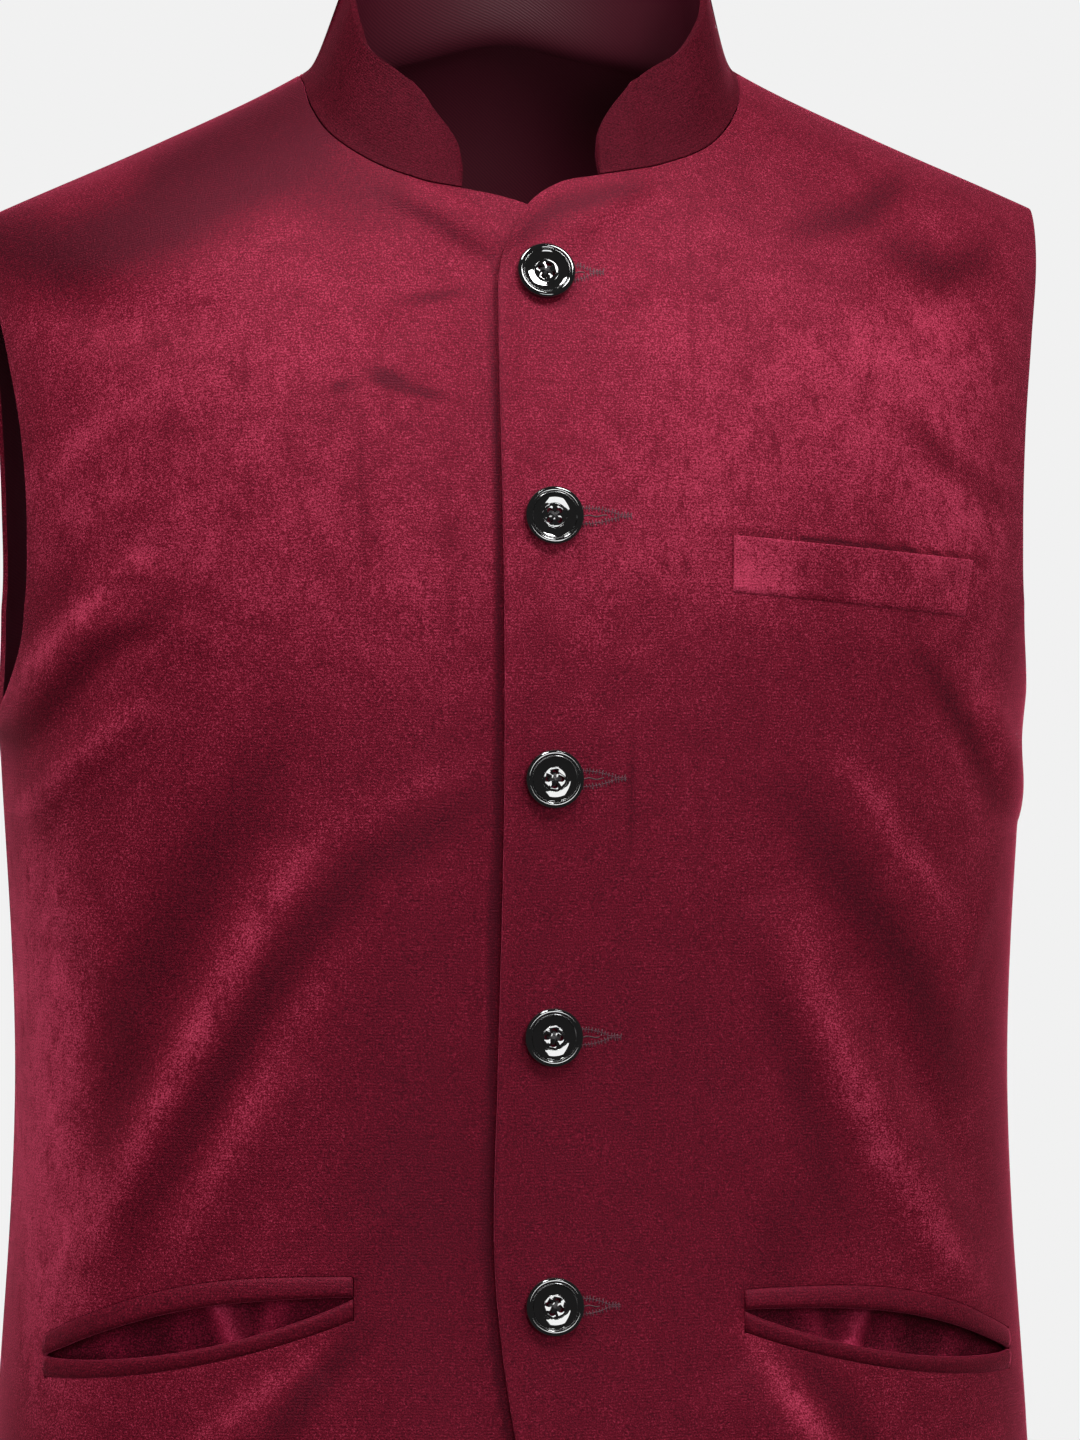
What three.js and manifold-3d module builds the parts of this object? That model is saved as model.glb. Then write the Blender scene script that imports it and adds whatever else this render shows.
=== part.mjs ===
import Module from 'manifold-3d';
import * as THREE from 'three';
import { mergeVertices } from 'three/addons/utils/BufferGeometryUtils.js';

const wasm = await Module();
wasm.setup();

// A sleeveless Nehru jacket in velvet, as worn on a general figure, in millimetres.
// +Z is up, the front faces -Y and the wearer's left is +X. The origin is midway between the neck ends
// of the shoulder seams, where the wearer's shoulders hold the jacket up.

// Cloth
const wall = 2.2; // velvet with its backing
const seamGap = 0.3; // between pieces that are sewn together
const collarWall = 3; // two layers and a stiffener

// Cut of the body
const hemZ = -700;
const domeZ = -220; // above this level the body rounds over to the shoulder ridge
const underarmZ = -267;
const neckHalf = 92; // centre to the neck end of the shoulder seam
const shoulderHalf = 221; // centre to the tip of the shoulder
const ridgeForward = 24; // the ridge lies this far forward of the tips at the centre
const seamForward = 0.07; // the shoulder seam's place in front of the ridge, as a share of the dome
const seamHalf = 0.002; // half of that seam's gap, as such a share
const sectionPower = 2.4; // squareness of the body's rings
const meanHalf = 215; // a ring's mean half width and depth, which its even steps are laid out on
const meanDepth = 120;
const domeHalf = { base: 220, top: 226 };
const domeFrontPower = { centre: 1.3, tip: 2.1 }; // fullness of the profile from the chest up to the ridge
const domeBackPower = { centre: 2.6, tip: 2.1 };

// The wearer stands with the left shoulder a little higher: z gains tilt times x above these heights.
const stance = { tilt: 0.023, from: -300, to: -60 };

const levels = [
  { z: -740, half: 229, front: 129, back: 113 },
  { z: -700, half: 226, front: 128, back: 112 },
  { z: -570, half: 217, front: 125, back: 108 },
  { z: -420, half: 208.5, front: 119, back: 101 },
  { z: -290, half: 214, front: 121, back: 112 },
  { z: -220, half: 220, front: 122, back: 117 },
  { z: -150, half: 226, front: 122, back: 117 },
];

const ridge = [
  { x: -40, z: 36 },
  { x: 0, z: 50 },
  { x: 40, z: 36 },
  { x: 92, z: 2 },
  { x: 150, z: -25 },
  { x: 221, z: -55 },
  { x: 260, z: -74 },
];

// Lap and front edges, as x across the centre in each front's own direction
const lapDrop = wall + 1.2; // how far the under front lies below the over one
const lapRun = { from: 5, to: 46 }; // where past the edge above it comes back up
const overEdge = [
  { x: -12, z: -69 },
  { x: -18, z: -82 },
  { x: -20, z: -110 },
  { x: -20, z: -300 },
  { x: -22, z: -400 },
  { x: -24, z: -480 },
  { x: -21, z: -520 },
  { x: -14, z: -566 },
  { x: -5, z: -612 },
  { x: 3, z: -650 },
  { x: 16, z: -683 },
];
const underEdge = [
  { x: -12, z: -69 },
  { x: -18, z: -82 },
  { x: -20, z: -110 },
  { x: -20, z: -300 },
  { x: -20, z: -400 },
  { x: -19, z: -480 },
  { x: -16, z: -520 },
  { x: -11, z: -566 },
  { x: -4, z: -612 },
  { x: 3, z: -650 },
  { x: 16, z: -683 },
];
const frontHem = [
  { x: 16, z: -683 },
  { x: 36, z: -697 },
  { x: 70, z: -700 },
  { x: 150, z: -700 },
];
const leftNeck = [
  { x: -12, z: -69 },
  { x: -5, z: -57.5 },
  { x: 8, z: -49 },
  { x: 25, z: -46 },
  { x: 50, z: -42 },
  { x: 72, z: -33.5 },
  { x: 87, z: -17 },
];
const rightNeck = [
  { x: -12, z: -69 },
  { x: 0, z: -59.5 },
  { x: 18, z: -52.5 },
  { x: 34, z: -49.5 },
  { x: 48, z: -47.5 },
  { x: 67, z: -39.5 },
  { x: 83, z: -27 },
  { x: 90, z: -14 },
];
const backNeckZ = 22;
const backNeckSquare = 2.2; // how squarely it turns up to the ridge

// Armholes, as the share of the way from centre to side, against height
const frontArmhole = [
  { share: 1, z: underarmZ },
  { share: 0.93, z: -262 },
  { share: 0.86, z: -248 },
  { share: 0.812, z: -224 },
  { share: 0.795, z: -190 },
  { share: 0.8, z: -150 },
  { share: 0.83, z: -112 },
  { share: 0.87, z: -80 },
];
const backArmhole = [
  { share: 1, z: underarmZ },
  { share: 0.94, z: -262 },
  { share: 0.88, z: -246 },
  { share: 0.84, z: -216 },
  { share: 0.83, z: -175 },
  { share: 0.838, z: -130 },
  { share: 0.865, z: -85 },
];

// Largest folds: each one's path as [x, z] points, its spread to each side, and its rise or dip
const frontFolds = [
  { path: [[-214, -276], [-196, -246], [-174, -220]], spread: 13, rise: 3.5 },
  { path: [[-207, -312], [-190, -286], [-168, -262]], spread: 12, rise: 3 },
  { path: [[-98, -318], [-122, -360], [-152, -420], [-178, -478], [-190, -520]], spread: 17, rise: 5 },
  { path: [[-100, -402], [-124, -440], [-150, -484]], spread: 13, rise: 2.5 },
  { path: [[84, -340], [118, -400], [157, -460], [184, -512]], spread: 17, rise: 4.5 },
  { path: [[184, -258], [200, -284], [210, -310]], spread: 12, rise: 3.5 },
  { path: [[-94, -526], [-122, -556], [-146, -612], [-156, -690]], spread: 20, rise: 4.5 },
  { path: [[74, -528], [98, -556], [116, -620], [122, -700]], spread: 20, rise: 5 },
  { path: [[-60, -50], [-38, -60], [-14, -76]], spread: 9, rise: 2.2 },
  { path: [[48, -46], [28, -58], [6, -72]], spread: 9, rise: 2 },
  { path: [[-205, -92], [-170, -104], [-128, -100]], spread: 16, rise: -3 },
  { path: [[205, -92], [172, -100], [136, -96]], spread: 16, rise: -3 },
  { path: [[-40, -580], [-52, -640], [-56, -700]], spread: 24, rise: 3 },
  { path: [[185, -560], [192, -620], [190, -700]], spread: 22, rise: 4 },
];
const backFolds = [
  { path: [[-190, -120], [-150, -150], [-96, -160]], spread: 18, rise: -3.5 },
  { path: [[190, -120], [154, -146], [104, -152]], spread: 18, rise: -3 },
  { path: [[-198, -250], [-150, -300], [-108, -372]], spread: 20, rise: 4.5 },
  { path: [[200, -262], [160, -306], [120, -360]], spread: 19, rise: 4 },
  { path: [[-70, -400], [0, -412], [78, -404]], spread: 15, rise: -3.5 },
  { path: [[-120, -372], [-30, -366], [60, -376]], spread: 14, rise: 3 },
  { path: [[-92, -470], [-108, -570], [-118, -700]], spread: 26, rise: 5.5 },
  { path: [[4, -500], [10, -600], [6, -700]], spread: 30, rise: 4.5 },
  { path: [[96, -456], [116, -560], [130, -700]], spread: 25, rise: 5.5 },
  { path: [[-176, -520], [-184, -610], [-186, -700]], spread: 20, rise: 4 },
  { path: [[180, -540], [186, -620], [188, -700]], spread: 20, rise: 3.5 },
];

const foldDip = 0.8; // the dip to each side of a fold
const foldEnds = 0.7; // how full a fold stays towards its ends
const foldFree = { side: 0.06, shoulder: 0.1 }; // the folds die away over this much at the seams

// Collar
const collarHeight = 43;
// Its ends: how far each is from the centre, and the shape of their corners
const collarEnd = { left: 25, right: 32, height: 9, round: 42, crowd: 0.07 };
const collarLean = { front: 0.3, side: 0.38, back: 0.22 }; // inward run for each unit of height
const collarSeat = 0.6; // off the panels' neckline, whose corners it cuts a little
const collarTurn = 5; // how soon it turns up from the panels
const collarRows = [0, 0.12, 0.4, 0.7, 1];
const collarColumns = 44;

// Pockets, in each front's own direction
const leftSlit = { inner: { x: 78, z: -505 }, outer: { x: 200.5, z: -528.5 } };
const rightSlit = { inner: { x: 80, z: -498 }, outer: { x: 200, z: -525.5 } };
const jetWidth = 8.4;
const gape = 5.4; // each lip stands off the slit line by this in the middle
const pocketSteps = 14;
const pocketBulge = 0.75; // how squarely the lips part at the ends
const lipShare = { above: 1.15, below: 1.3 }; // the lower lip hangs open further
const cutter = { out: 6, in: 8 };
const facing = { wall: 1.2, behind: 0.9, above: 6, below: 14, past: 0.035, pouch: 9 };
const jetSection = [
  { out: 0, lift: -0.1 },
  { out: 0.3, lift: 0.9 },
  { out: 0.75, lift: 1.2 },
  { out: 0.97, lift: 0.4 },
  { out: 1, lift: -1 },
  { out: 0.85, lift: -2.1 },
  { out: 0, lift: -2.2 },
];
const welt = { inner: { x: 73, z: -194 }, outer: { x: 178, z: -203.5 }, height: 22.5, slant: 3, wall: 2,
  seat: 0.4, gape: 0.5 };

// Buttons
const buttonHeights = [-87, -186, -291, -394.5, -502];
const buttonTurns = [20, 0, 45, 40, 20]; // each button's turn in degrees
const button = { seat: 0.5, radius: 11.75, thick: 3.8, dish: 1.3, holeRadius: 1.1, holeCircle: 2.7 };

// Steps of the grids
const frontColumns = { neck: 10, shoulder: 9 };
const frontRows = { side: 22, arm: 13 };
const backColumns = { neck: 7, shoulder: 8 };
const backRows = { side: 20, arm: 13 };
const bendPowers = [2.2, 1.4]; // how soon an outer side's bend dies away, across and up

const velvet = 0x73192f;
const darkVelvet = 0x56101f;
const gloss = 0x0b090a;

// Helpers

function clamp(value, low, high) {
  return Math.min(high, Math.max(low, value));
}

function mix(a, b, share) {
  return a + (b - a) * share;
}

function smooth(low, high, value) {
  const share = clamp((value - low) / (high - low), 0, 1);
  return share * share * (3 - 2 * share);
}

function add(a, b, scale = 1) {
  return [a[0] + b[0] * scale, a[1] + b[1] * scale, a[2] + b[2] * scale];
}

function cross(a, b) {
  return [a[1] * b[2] - a[2] * b[1], a[2] * b[0] - a[0] * b[2], a[0] * b[1] - a[1] * b[0]];
}

function unit(a) {
  const length = Math.hypot(...a);
  return [a[0] / length, a[1] / length, a[2] / length];
}

// A smooth curve through a table's rows: the value of one column where another has the given value.
function readTable(rows, by, column, at) {
  const rising = rows[0][by] < rows[rows.length - 1][by] ? rows : [...rows].reverse();
  const last = rising.length - 2;
  const i = clamp(rising.findIndex((row) => row[by] > at) - 1, 0, last);
  const k = at >= rising[last + 1][by] ? last : i;
  const step = rising[k + 1][by] - rising[k][by];
  const rise = (rising[k + 1][column] - rising[k][column]) / step;
  const before = k > 0 ? slopeAt(rising, k, by, column) : rise;
  const after = k < last ? slopeAt(rising, k + 1, by, column) : rise;
  const s = clamp((at - rising[k][by]) / step, 0, 1);
  const h = 1 - s;
  return h * h * (1 + 2 * s) * rising[k][column] + s * s * (1 + 2 * h) * rising[k + 1][column]
    + h * h * s * step * before - s * s * h * step * after;
}

function slopeAt(rows, k, by, column) {
  return (rows[k + 1][column] - rows[k - 1][column]) / (rows[k + 1][by] - rows[k - 1][by]);
}

// The body's surface

// A quarter ring from the centre (0, 1) to the side (1, 0), in even steps of length.
const quarter = makeQuarter();

function makeQuarter() {
  const count = 600;
  const points = [];
  for (let i = 0; i <= count; i++) {
    const angle = (i / count) * (Math.PI / 2);
    const across = Math.sin(angle) ** (2 / sectionPower);
    const deep = Math.cos(angle) ** (2 / sectionPower);
    const before = points[i - 1];
    const step = i ? Math.hypot((across - before.across) * meanHalf, (deep - before.deep) * meanDepth) : 0;
    points.push({ across, deep, length: (i ? before.length : 0) + step });
  }
  const total = points[count].length;
  return points.map((point) => ({ ...point, share: point.length / total }));
}

function lookUp(column, wanted, result) {
  let low = 0;
  let high = quarter.length - 1;
  while (high - low > 1) {
    const middle = (low + high) >> 1;
    if (quarter[middle][column] <= wanted) low = middle;
    else high = middle;
  }
  const span = quarter[high][column] - quarter[low][column];
  const part = span ? clamp((wanted - quarter[low][column]) / span, 0, 1) : 0;
  return mix(quarter[low][result], quarter[high][result], part);
}

function ridgeZ(x) {
  return readTable(ridge, 'x', 'z', Math.abs(x));
}

// The fullness of the dome's profile at x: 1 is straight, 2 round.
function domePower(isBack, x) {
  const power = isBack ? domeBackPower : domeFrontPower;
  return mix(power.centre, power.tip, smooth(0, shoulderHalf, Math.abs(x)));
}

// A point of the body. share runs from the centre (0) to the side seam (1), rise from the hem (0) to the
// dome's base (1) and on to the ridge (2). Past the side or the ridge it is on the other face.
function bodyPoint(isBack, share, rise) {
  if (rise > 2) return bodyPoint(!isBack, share, 4 - rise);
  if (share > 1) return bodyPoint(!isBack, 2 - share, rise);
  const size = Math.abs(share);
  const across = lookUp('share', size, 'across') * Math.sign(share);
  const deep = lookUp('share', size, 'deep');
  const depthColumn = isBack ? 'back' : 'front';
  const toFace = isBack ? 1 : -1;
  if (rise <= 1) {
    const z = mix(hemZ, domeZ, rise);
    const half = readTable(levels, 'z', 'half', z);
    const depth = readTable(levels, 'z', depthColumn, z);
    return [across * half, toFace * deep * depth, z];
  }
  const turn = (rise - 1) * (Math.PI / 2);
  const x = across * mix(domeHalf.base, domeHalf.top, Math.sin(turn));
  const power = domePower(isBack, x);
  const up = Math.sin(turn) ** (2 / power);
  const out = Math.cos(turn) ** (2 / power);
  const depth = readTable(levels, 'z', depthColumn, domeZ);
  const forward = ridgeForward * (1 - smooth(0, shoulderHalf, Math.abs(x))) * Math.sin(turn);
  return [x, toFace * deep * depth * out - forward, domeZ + (ridgeZ(x) - domeZ) * up];
}

// The way out of the body there, measured over a short step to each side.
function bodyNormal(isBack, share, rise) {
  const step = 0.004;
  const low = Math.min(rise, 2 - seamForward * 0.5 - step);
  const level = isBack ? rise : low;
  const a = bodyPoint(isBack, share + step, level);
  const b = bodyPoint(isBack, share - step, level);
  const c = bodyPoint(isBack, share, level + step);
  const d = bodyPoint(isBack, share, level - step);
  const normal = unit(cross(add(a, b, -1), add(c, d, -1)));
  const turned = isBack ? -1 : 1;
  return [normal[0] * turned, normal[1] * turned, normal[2] * turned];
}

// share and rise of the point of a face at the given x and z.
function placeOf(isBack, x, z) {
  if (z <= domeZ) {
    const half = readTable(levels, 'z', 'half', z);
    return [Math.sign(x) * lookUp('across', Math.abs(x) / half, 'share'), (z - hemZ) / (domeZ - hemZ)];
  }
  const up = clamp((z - domeZ) / (ridgeZ(x) - domeZ), 0, 1);
  const turn = Math.asin(up ** (domePower(isBack, x) / 2));
  const half = mix(domeHalf.base, domeHalf.top, Math.sin(turn));
  return [Math.sign(x) * lookUp('across', Math.abs(x) / half, 'share'), 1 + turn / (Math.PI / 2)];
}

// The height of the folds at x and z: a ridge with a shallow dip to each side, fading at its ends.
function foldHeight(folds, x, z) {
  let height = 0;
  for (const { path, spread, rise } of folds) {
    const near = nearestOnPath(path, x, z);
    const off = (near.away / spread) ** 2;
    height += rise * (1 - foldDip * off) * Math.exp(-off) * Math.sin(Math.PI * near.share) ** foldEnds;
  }
  return height;
}

function nearestOnPath(path, x, z) {
  const lengths = path.slice(1).map(([px, pz], i) => Math.hypot(px - path[i][0], pz - path[i][1]));
  const total = lengths.reduce((sum, length) => sum + length, 0);
  let best = { away: Infinity, share: 0 };
  let run = 0;
  lengths.forEach((length, i) => {
    const [ax, az] = path[i];
    const [bx, bz] = path[i + 1];
    const s = clamp(((x - ax) * (bx - ax) + (z - az) * (bz - az)) / (length * length), 0, 1);
    const away = Math.hypot(x - mix(ax, bx, s), z - mix(az, bz, s));
    if (away < best.away) best = { away, share: (run + s * length) / total };
    run += length;
  });
  return best;
}

// A point of the jacket's outside, moved out by lift. hand is 1 on the wearer's left and -1 on the right.
function clothPoint(isBack, hand, share, rise, lift = 0) {
  const base = bodyPoint(isBack, share, rise);
  const normal = bodyNormal(isBack, share, rise);
  const toShoulder = 2 - seamForward - rise;
  const nearSeam = smooth(0, foldFree.side, 1 - share) * smooth(0, foldFree.shoulder, toShoulder);
  const folds = isBack ? backFolds : frontFolds;
  const height = lift + nearSeam * foldHeight(folds, base[0] * hand, base[2]);
  const [x, y, z] = add(base, normal, height);
  return [x * hand, y, z + stance.tilt * x * hand * smooth(stance.from, stance.to, z)];
}

// How far the under front is held down where the other lies on it, and a little past it.
function underLap(x, z) {
  const edge = -readTable(overEdge, 'z', 'x', clamp(z, overEdge[overEdge.length - 1].z, overEdge[0].z));
  return lapDrop * (1 - smooth(edge + lapRun.from, edge + lapRun.to, x));
}

// Solids

// A closed wall between an outer and an inner grid of points of the same size.
function wallSolid(outer, inner) {
  const rows = outer.length;
  const columns = outer[0].length;
  const positions = [...outer.flat(), ...inner.flat()].flat();
  const index = [];
  const at = (side, i, j) => side * rows * columns + i * columns + j;
  const quad = (a, b, c, d) => index.push(a, b, c, a, c, d);
  for (let i = 0; i < rows - 1; i++) {
    for (let j = 0; j < columns - 1; j++) {
      quad(at(0, i, j), at(0, i, j + 1), at(0, i + 1, j + 1), at(0, i + 1, j));
      quad(at(1, i, j), at(1, i + 1, j), at(1, i + 1, j + 1), at(1, i, j + 1));
    }
  }
  for (let j = 0; j < columns - 1; j++) {
    quad(at(0, 0, j), at(1, 0, j), at(1, 0, j + 1), at(0, 0, j + 1));
    quad(at(0, rows - 1, j), at(0, rows - 1, j + 1), at(1, rows - 1, j + 1), at(1, rows - 1, j));
  }
  for (let i = 0; i < rows - 1; i++) {
    quad(at(0, i, 0), at(0, i + 1, 0), at(1, i + 1, 0), at(1, i, 0));
    const last = columns - 1;
    quad(at(0, i, last), at(1, i, last), at(1, i + 1, last), at(0, i + 1, last));
  }
  return outward(positions, index);
}

// A closed bar through rings of points, with a fan over each end.
function barSolid(rings) {
  const count = rings[0].length;
  const positions = rings.flat().flat();
  const index = [];
  for (let i = 0; i < rings.length - 1; i++) {
    for (let j = 0; j < count; j++) {
      const next = (j + 1) % count;
      const a = i * count + j;
      const b = i * count + next;
      index.push(a, b, b + count, a, b + count, a + count);
    }
  }
  const end = (rings.length - 1) * count;
  for (let j = 1; j < count - 1; j++) {
    index.push(0, j + 1, j, end, end + j, end + j + 1);
  }
  return outward(positions, index);
}

// The geometry of a closed surface, turned so that its faces point out.
function outward(positions, index) {
  let volume = 0;
  for (let i = 0; i < index.length; i += 3) {
    const [a, b, c] = [0, 1, 2].map((k) => positions.slice(index[i + k] * 3, index[i + k] * 3 + 3));
    const [x, y, z] = cross(a, b);
    volume += x * c[0] + y * c[1] + z * c[2];
  }
  if (volume < 0) index.reverse();
  const geometry = new THREE.BufferGeometry();
  geometry.setAttribute('position', new THREE.Float32BufferAttribute(positions, 3));
  geometry.setIndex(index);
  return geometry;
}

function toManifold(geometry) {
  const bare = geometry.clone();
  bare.deleteAttribute('normal');
  bare.deleteAttribute('uv');
  const merged = mergeVertices(bare, 1e-4);
  return new wasm.Manifold(new wasm.Mesh({
    numProp: 3,
    vertProperties: new Float32Array(merged.attributes.position.array),
    triVerts: new Uint32Array(merged.index.array),
  }));
}

function fromManifold(solid) {
  const { vertProperties, triVerts } = solid.getMesh();
  const geometry = new THREE.BufferGeometry();
  geometry.setAttribute('position', new THREE.Float32BufferAttribute(vertProperties, 3));
  geometry.setIndex([...triVerts]);
  return geometry;
}

function piece(name, geometry, color, roughness) {
  const shaded = geometry.clone();
  shaded.computeVertexNormals();
  const mesh = new THREE.Mesh(shaded, new THREE.MeshStandardMaterial({ color, roughness, metalness: 0 }));
  mesh.name = name;
  return mesh;
}

// Panels

// Places in even steps of real length along a smooth curve through the given places of a face.
function alongCloth(isBack, places, steps) {
  const knots = places.map(([share, rise]) => new THREE.Vector3(share, rise, 0));
  const curve = new THREE.CatmullRomCurve3(knots, false, 'centripetal');
  const fine = curve.getPoints(40 * (places.length - 1)).map((p) => [p.x, p.y]);
  const points = fine.map((place) => bodyPoint(isBack, ...place));
  const lengths = points.map(() => 0);
  for (let i = 1; i < points.length; i++) {
    lengths[i] = lengths[i - 1] + Math.hypot(...add(points[i], points[i - 1], -1));
  }
  const total = lengths[lengths.length - 1];
  return shares(steps).map((share) => {
    const i = clamp(lengths.findIndex((length) => length >= share * total), 1, fine.length - 1);
    const s = clamp((share * total - lengths[i - 1]) / (lengths[i] - lengths[i - 1]), 0, 1);
    return [mix(fine[i - 1][0], fine[i][0], s), mix(fine[i - 1][1], fine[i][1], s)];
  });
}

// A grid of [share, rise] places between four sides, each a list of places: bottom and top run from the
// inner to the outer side, inner and outer run up. The bend of each upright side dies away from it.
function fillSides(bottom, top, inner, outer) {
  const rows = inner.length - 1;
  const columns = bottom.length - 1;
  const climb = (side, i) => (side[i][1] - side[0][1]) / (side[rows][1] - side[0][1]);
  return inner.map((_, i) => {
    const w = (climb(inner, i) + climb(outer, i)) / 2;
    return bottom.map((__, j) => [0, 1].map((k) => {
      const u = j / columns;
      const ruled = (n) => mix(bottom[n][k], top[n][k], w);
      const innerBend = (inner[i][k] - ruled(0)) * (1 - u) ** 1.5;
      const outerBend = (outer[i][k] - ruled(columns)) * u ** bendPowers[k];
      return ruled(j) + innerBend + outerBend;
    }));
  });
}

// The outer side of a panel, up the side seam and round the armhole to the tip of the shoulder.
function outerSide(isBack, armhole, rows, tip) {
  const inSeam = 1 - (seamGap / 2) / quarter[quarter.length - 1].length;
  const side = [];
  for (let i = 0; i < rows.side; i++) {
    side.push([inSeam, placeOf(isBack, 0, mix(hemZ, underarmZ, i / rows.side))[1]]);
  }
  const places = armhole.map(({ share, z }) => {
    const x = lookUp('share', share, 'across') * domeHalf.top;
    return [Math.min(share, inSeam), placeOf(isBack, x, z)[1]];
  });
  return [...side, ...alongCloth(isBack, [...places, tip], rows.arm)];
}

function seamRise(isBack) {
  return 2 + (isBack ? seamForward : -seamForward) - seamHalf;
}

function shoulderSeam(isBack, from, steps) {
  const places = [];
  for (let j = 0; j <= steps; j++) {
    const x = mix(from, shoulderHalf, j / steps);
    places.push([lookUp('across', x / domeHalf.top, 'share'), seamRise(isBack)]);
  }
  return places;
}

function toPlace({ x, z }) {
  return placeOf(false, x, z);
}

function frontNeckPlaces(hand) {
  const neckEnd = shoulderSeam(false, neckHalf, 1)[0];
  const neck = hand > 0 ? leftNeck : rightNeck;
  return alongCloth(false, [...neck.map(toPlace), neckEnd], frontColumns.neck);
}

function frontPanel(hand, edge, lowered) {
  const shoulder = shoulderSeam(false, neckHalf, frontColumns.shoulder);
  const top = [...frontNeckPlaces(hand).slice(0, -1), ...shoulder];
  const outer = outerSide(false, frontArmhole, frontRows, shoulder[shoulder.length - 1]);
  const inner = alongCloth(false, [...edge].reverse().map(toPlace), outer.length - 1);
  const bottom = alongCloth(false, [...frontHem.map(toPlace), outer[0]], top.length - 1);
  const grid = fillSides(bottom, top, inner, outer);
  const drop = ([share, rise]) => {
    const [x, , z] = bodyPoint(false, share, rise);
    return lowered ? underLap(x, z) : 0;
  };
  const layer = (depth) => grid.map((row) => row.map((place) =>
    clothPoint(false, hand, ...place, -drop(place) - depth)));
  return wallSolid(layer(0), layer(wall));
}

function backPlaces() {
  const shoulder = shoulderSeam(true, neckHalf, backColumns.shoulder);
  const centre = placeOf(true, 0, backNeckZ)[1];
  const neckCurve = shares(12).map((turned) => {
    const [share, rise] = shoulder[0];
    const down = (1 - turned ** backNeckSquare) ** (1 / backNeckSquare);
    return [turned * share, mix(rise, centre, down)];
  });
  const top = [...alongCloth(true, neckCurve, backColumns.neck).slice(0, -1), ...shoulder];
  const outer = outerSide(true, backArmhole, backRows, shoulder[shoulder.length - 1]);
  const inner = shares(outer.length - 1).map((up) => [0, centre * up]);
  const bottom = shares(top.length - 1).map((across) => [across * outer[0][0], 0]);
  return fillSides(bottom, top, inner, outer);
}

function backPanel() {
  const grid = backPlaces();
  const layer = (depth) => grid.map((row) => {
    const left = row.map((place) => clothPoint(true, 1, ...place, -depth));
    const right = row.slice(1).map((place) => clothPoint(true, -1, ...place, -depth));
    return [...right.reverse(), ...left];
  });
  return wallSolid(layer(0), layer(wall));
}

// Collar

// The neckline of one hand, from the lap round to the centre of the back: the panels' own points there,
// with their normals.
function neckline(hand) {
  const front = frontNeckPlaces(hand).map((place) => ({ isBack: false, place }));
  const behind = backPlaces().pop().slice(0, backColumns.neck + 1).reverse();
  const back = behind.map((place) => ({ isBack: true, place }));
  return [...front, ...back].map(({ isBack, place }) => {
    const drop = isBack || hand > 0 ? 0 : underLap(...placeXZ(place));
    const normal = bodyNormal(isBack, ...place);
    const point = clothPoint(isBack, hand, ...place, -drop);
    return { point, normal: [normal[0] * hand, normal[1], normal[2]] };
  });
}

function placeXZ(place) {
  const [x, , z] = bodyPoint(false, ...place);
  return [x, z];
}

function between(a, b, s) {
  return {
    point: a.point.map((value, c) => mix(value, b.point[c], s)),
    normal: unit(a.normal.map((value, c) => mix(value, b.normal[c], s))),
  };
}

// A hand's neckline from the collar's end, at x from the centre, to the centre of the back.
function collarSide(hand, end) {
  const line = neckline(hand);
  const next = line.findIndex(({ point }) => point[0] * hand > end);
  const [low, high] = [line[next - 1].point[0] * hand, line[next].point[0] * hand];
  return [between(line[next - 1], line[next], (end - low) / (high - low)), ...line.slice(next)];
}

// Steps round the neckline between the collar's two ends, each with its distance from the nearer end.
function collarBase() {
  const right = collarSide(-1, collarEnd.right);
  const left = collarSide(1, collarEnd.left);
  const ring = [...right, ...left.reverse().slice(1)];
  const lengths = [0];
  ring.slice(1).forEach(({ point }, i) => {
    lengths.push(lengths[i] + Math.hypot(...add(point, ring[i].point, -1)));
  });
  const total = lengths[lengths.length - 1];
  const base = [];
  for (let j = 0; j <= collarColumns; j++) {
    const turned = j / collarColumns;
    const along = total * (turned - collarEnd.crowd * Math.sin(2 * Math.PI * turned));
    const k = clamp(lengths.findIndex((length) => length > along) - 1, 0, ring.length - 2);
    const i = along >= total ? ring.length - 2 : k;
    const s = clamp((along - lengths[i]) / (lengths[i + 1] - lengths[i]), 0, 1);
    base.push({ ...between(ring[i], ring[i + 1], s), fromEnd: Math.min(along, total - along) });
  }
  return base;
}

function collarHeightAt(fromEnd) {
  const share = clamp(1 - fromEnd / collarEnd.round, 0, 1);
  return collarEnd.height + (collarHeight - collarEnd.height) * Math.sqrt(1 - share * share);
}

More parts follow.
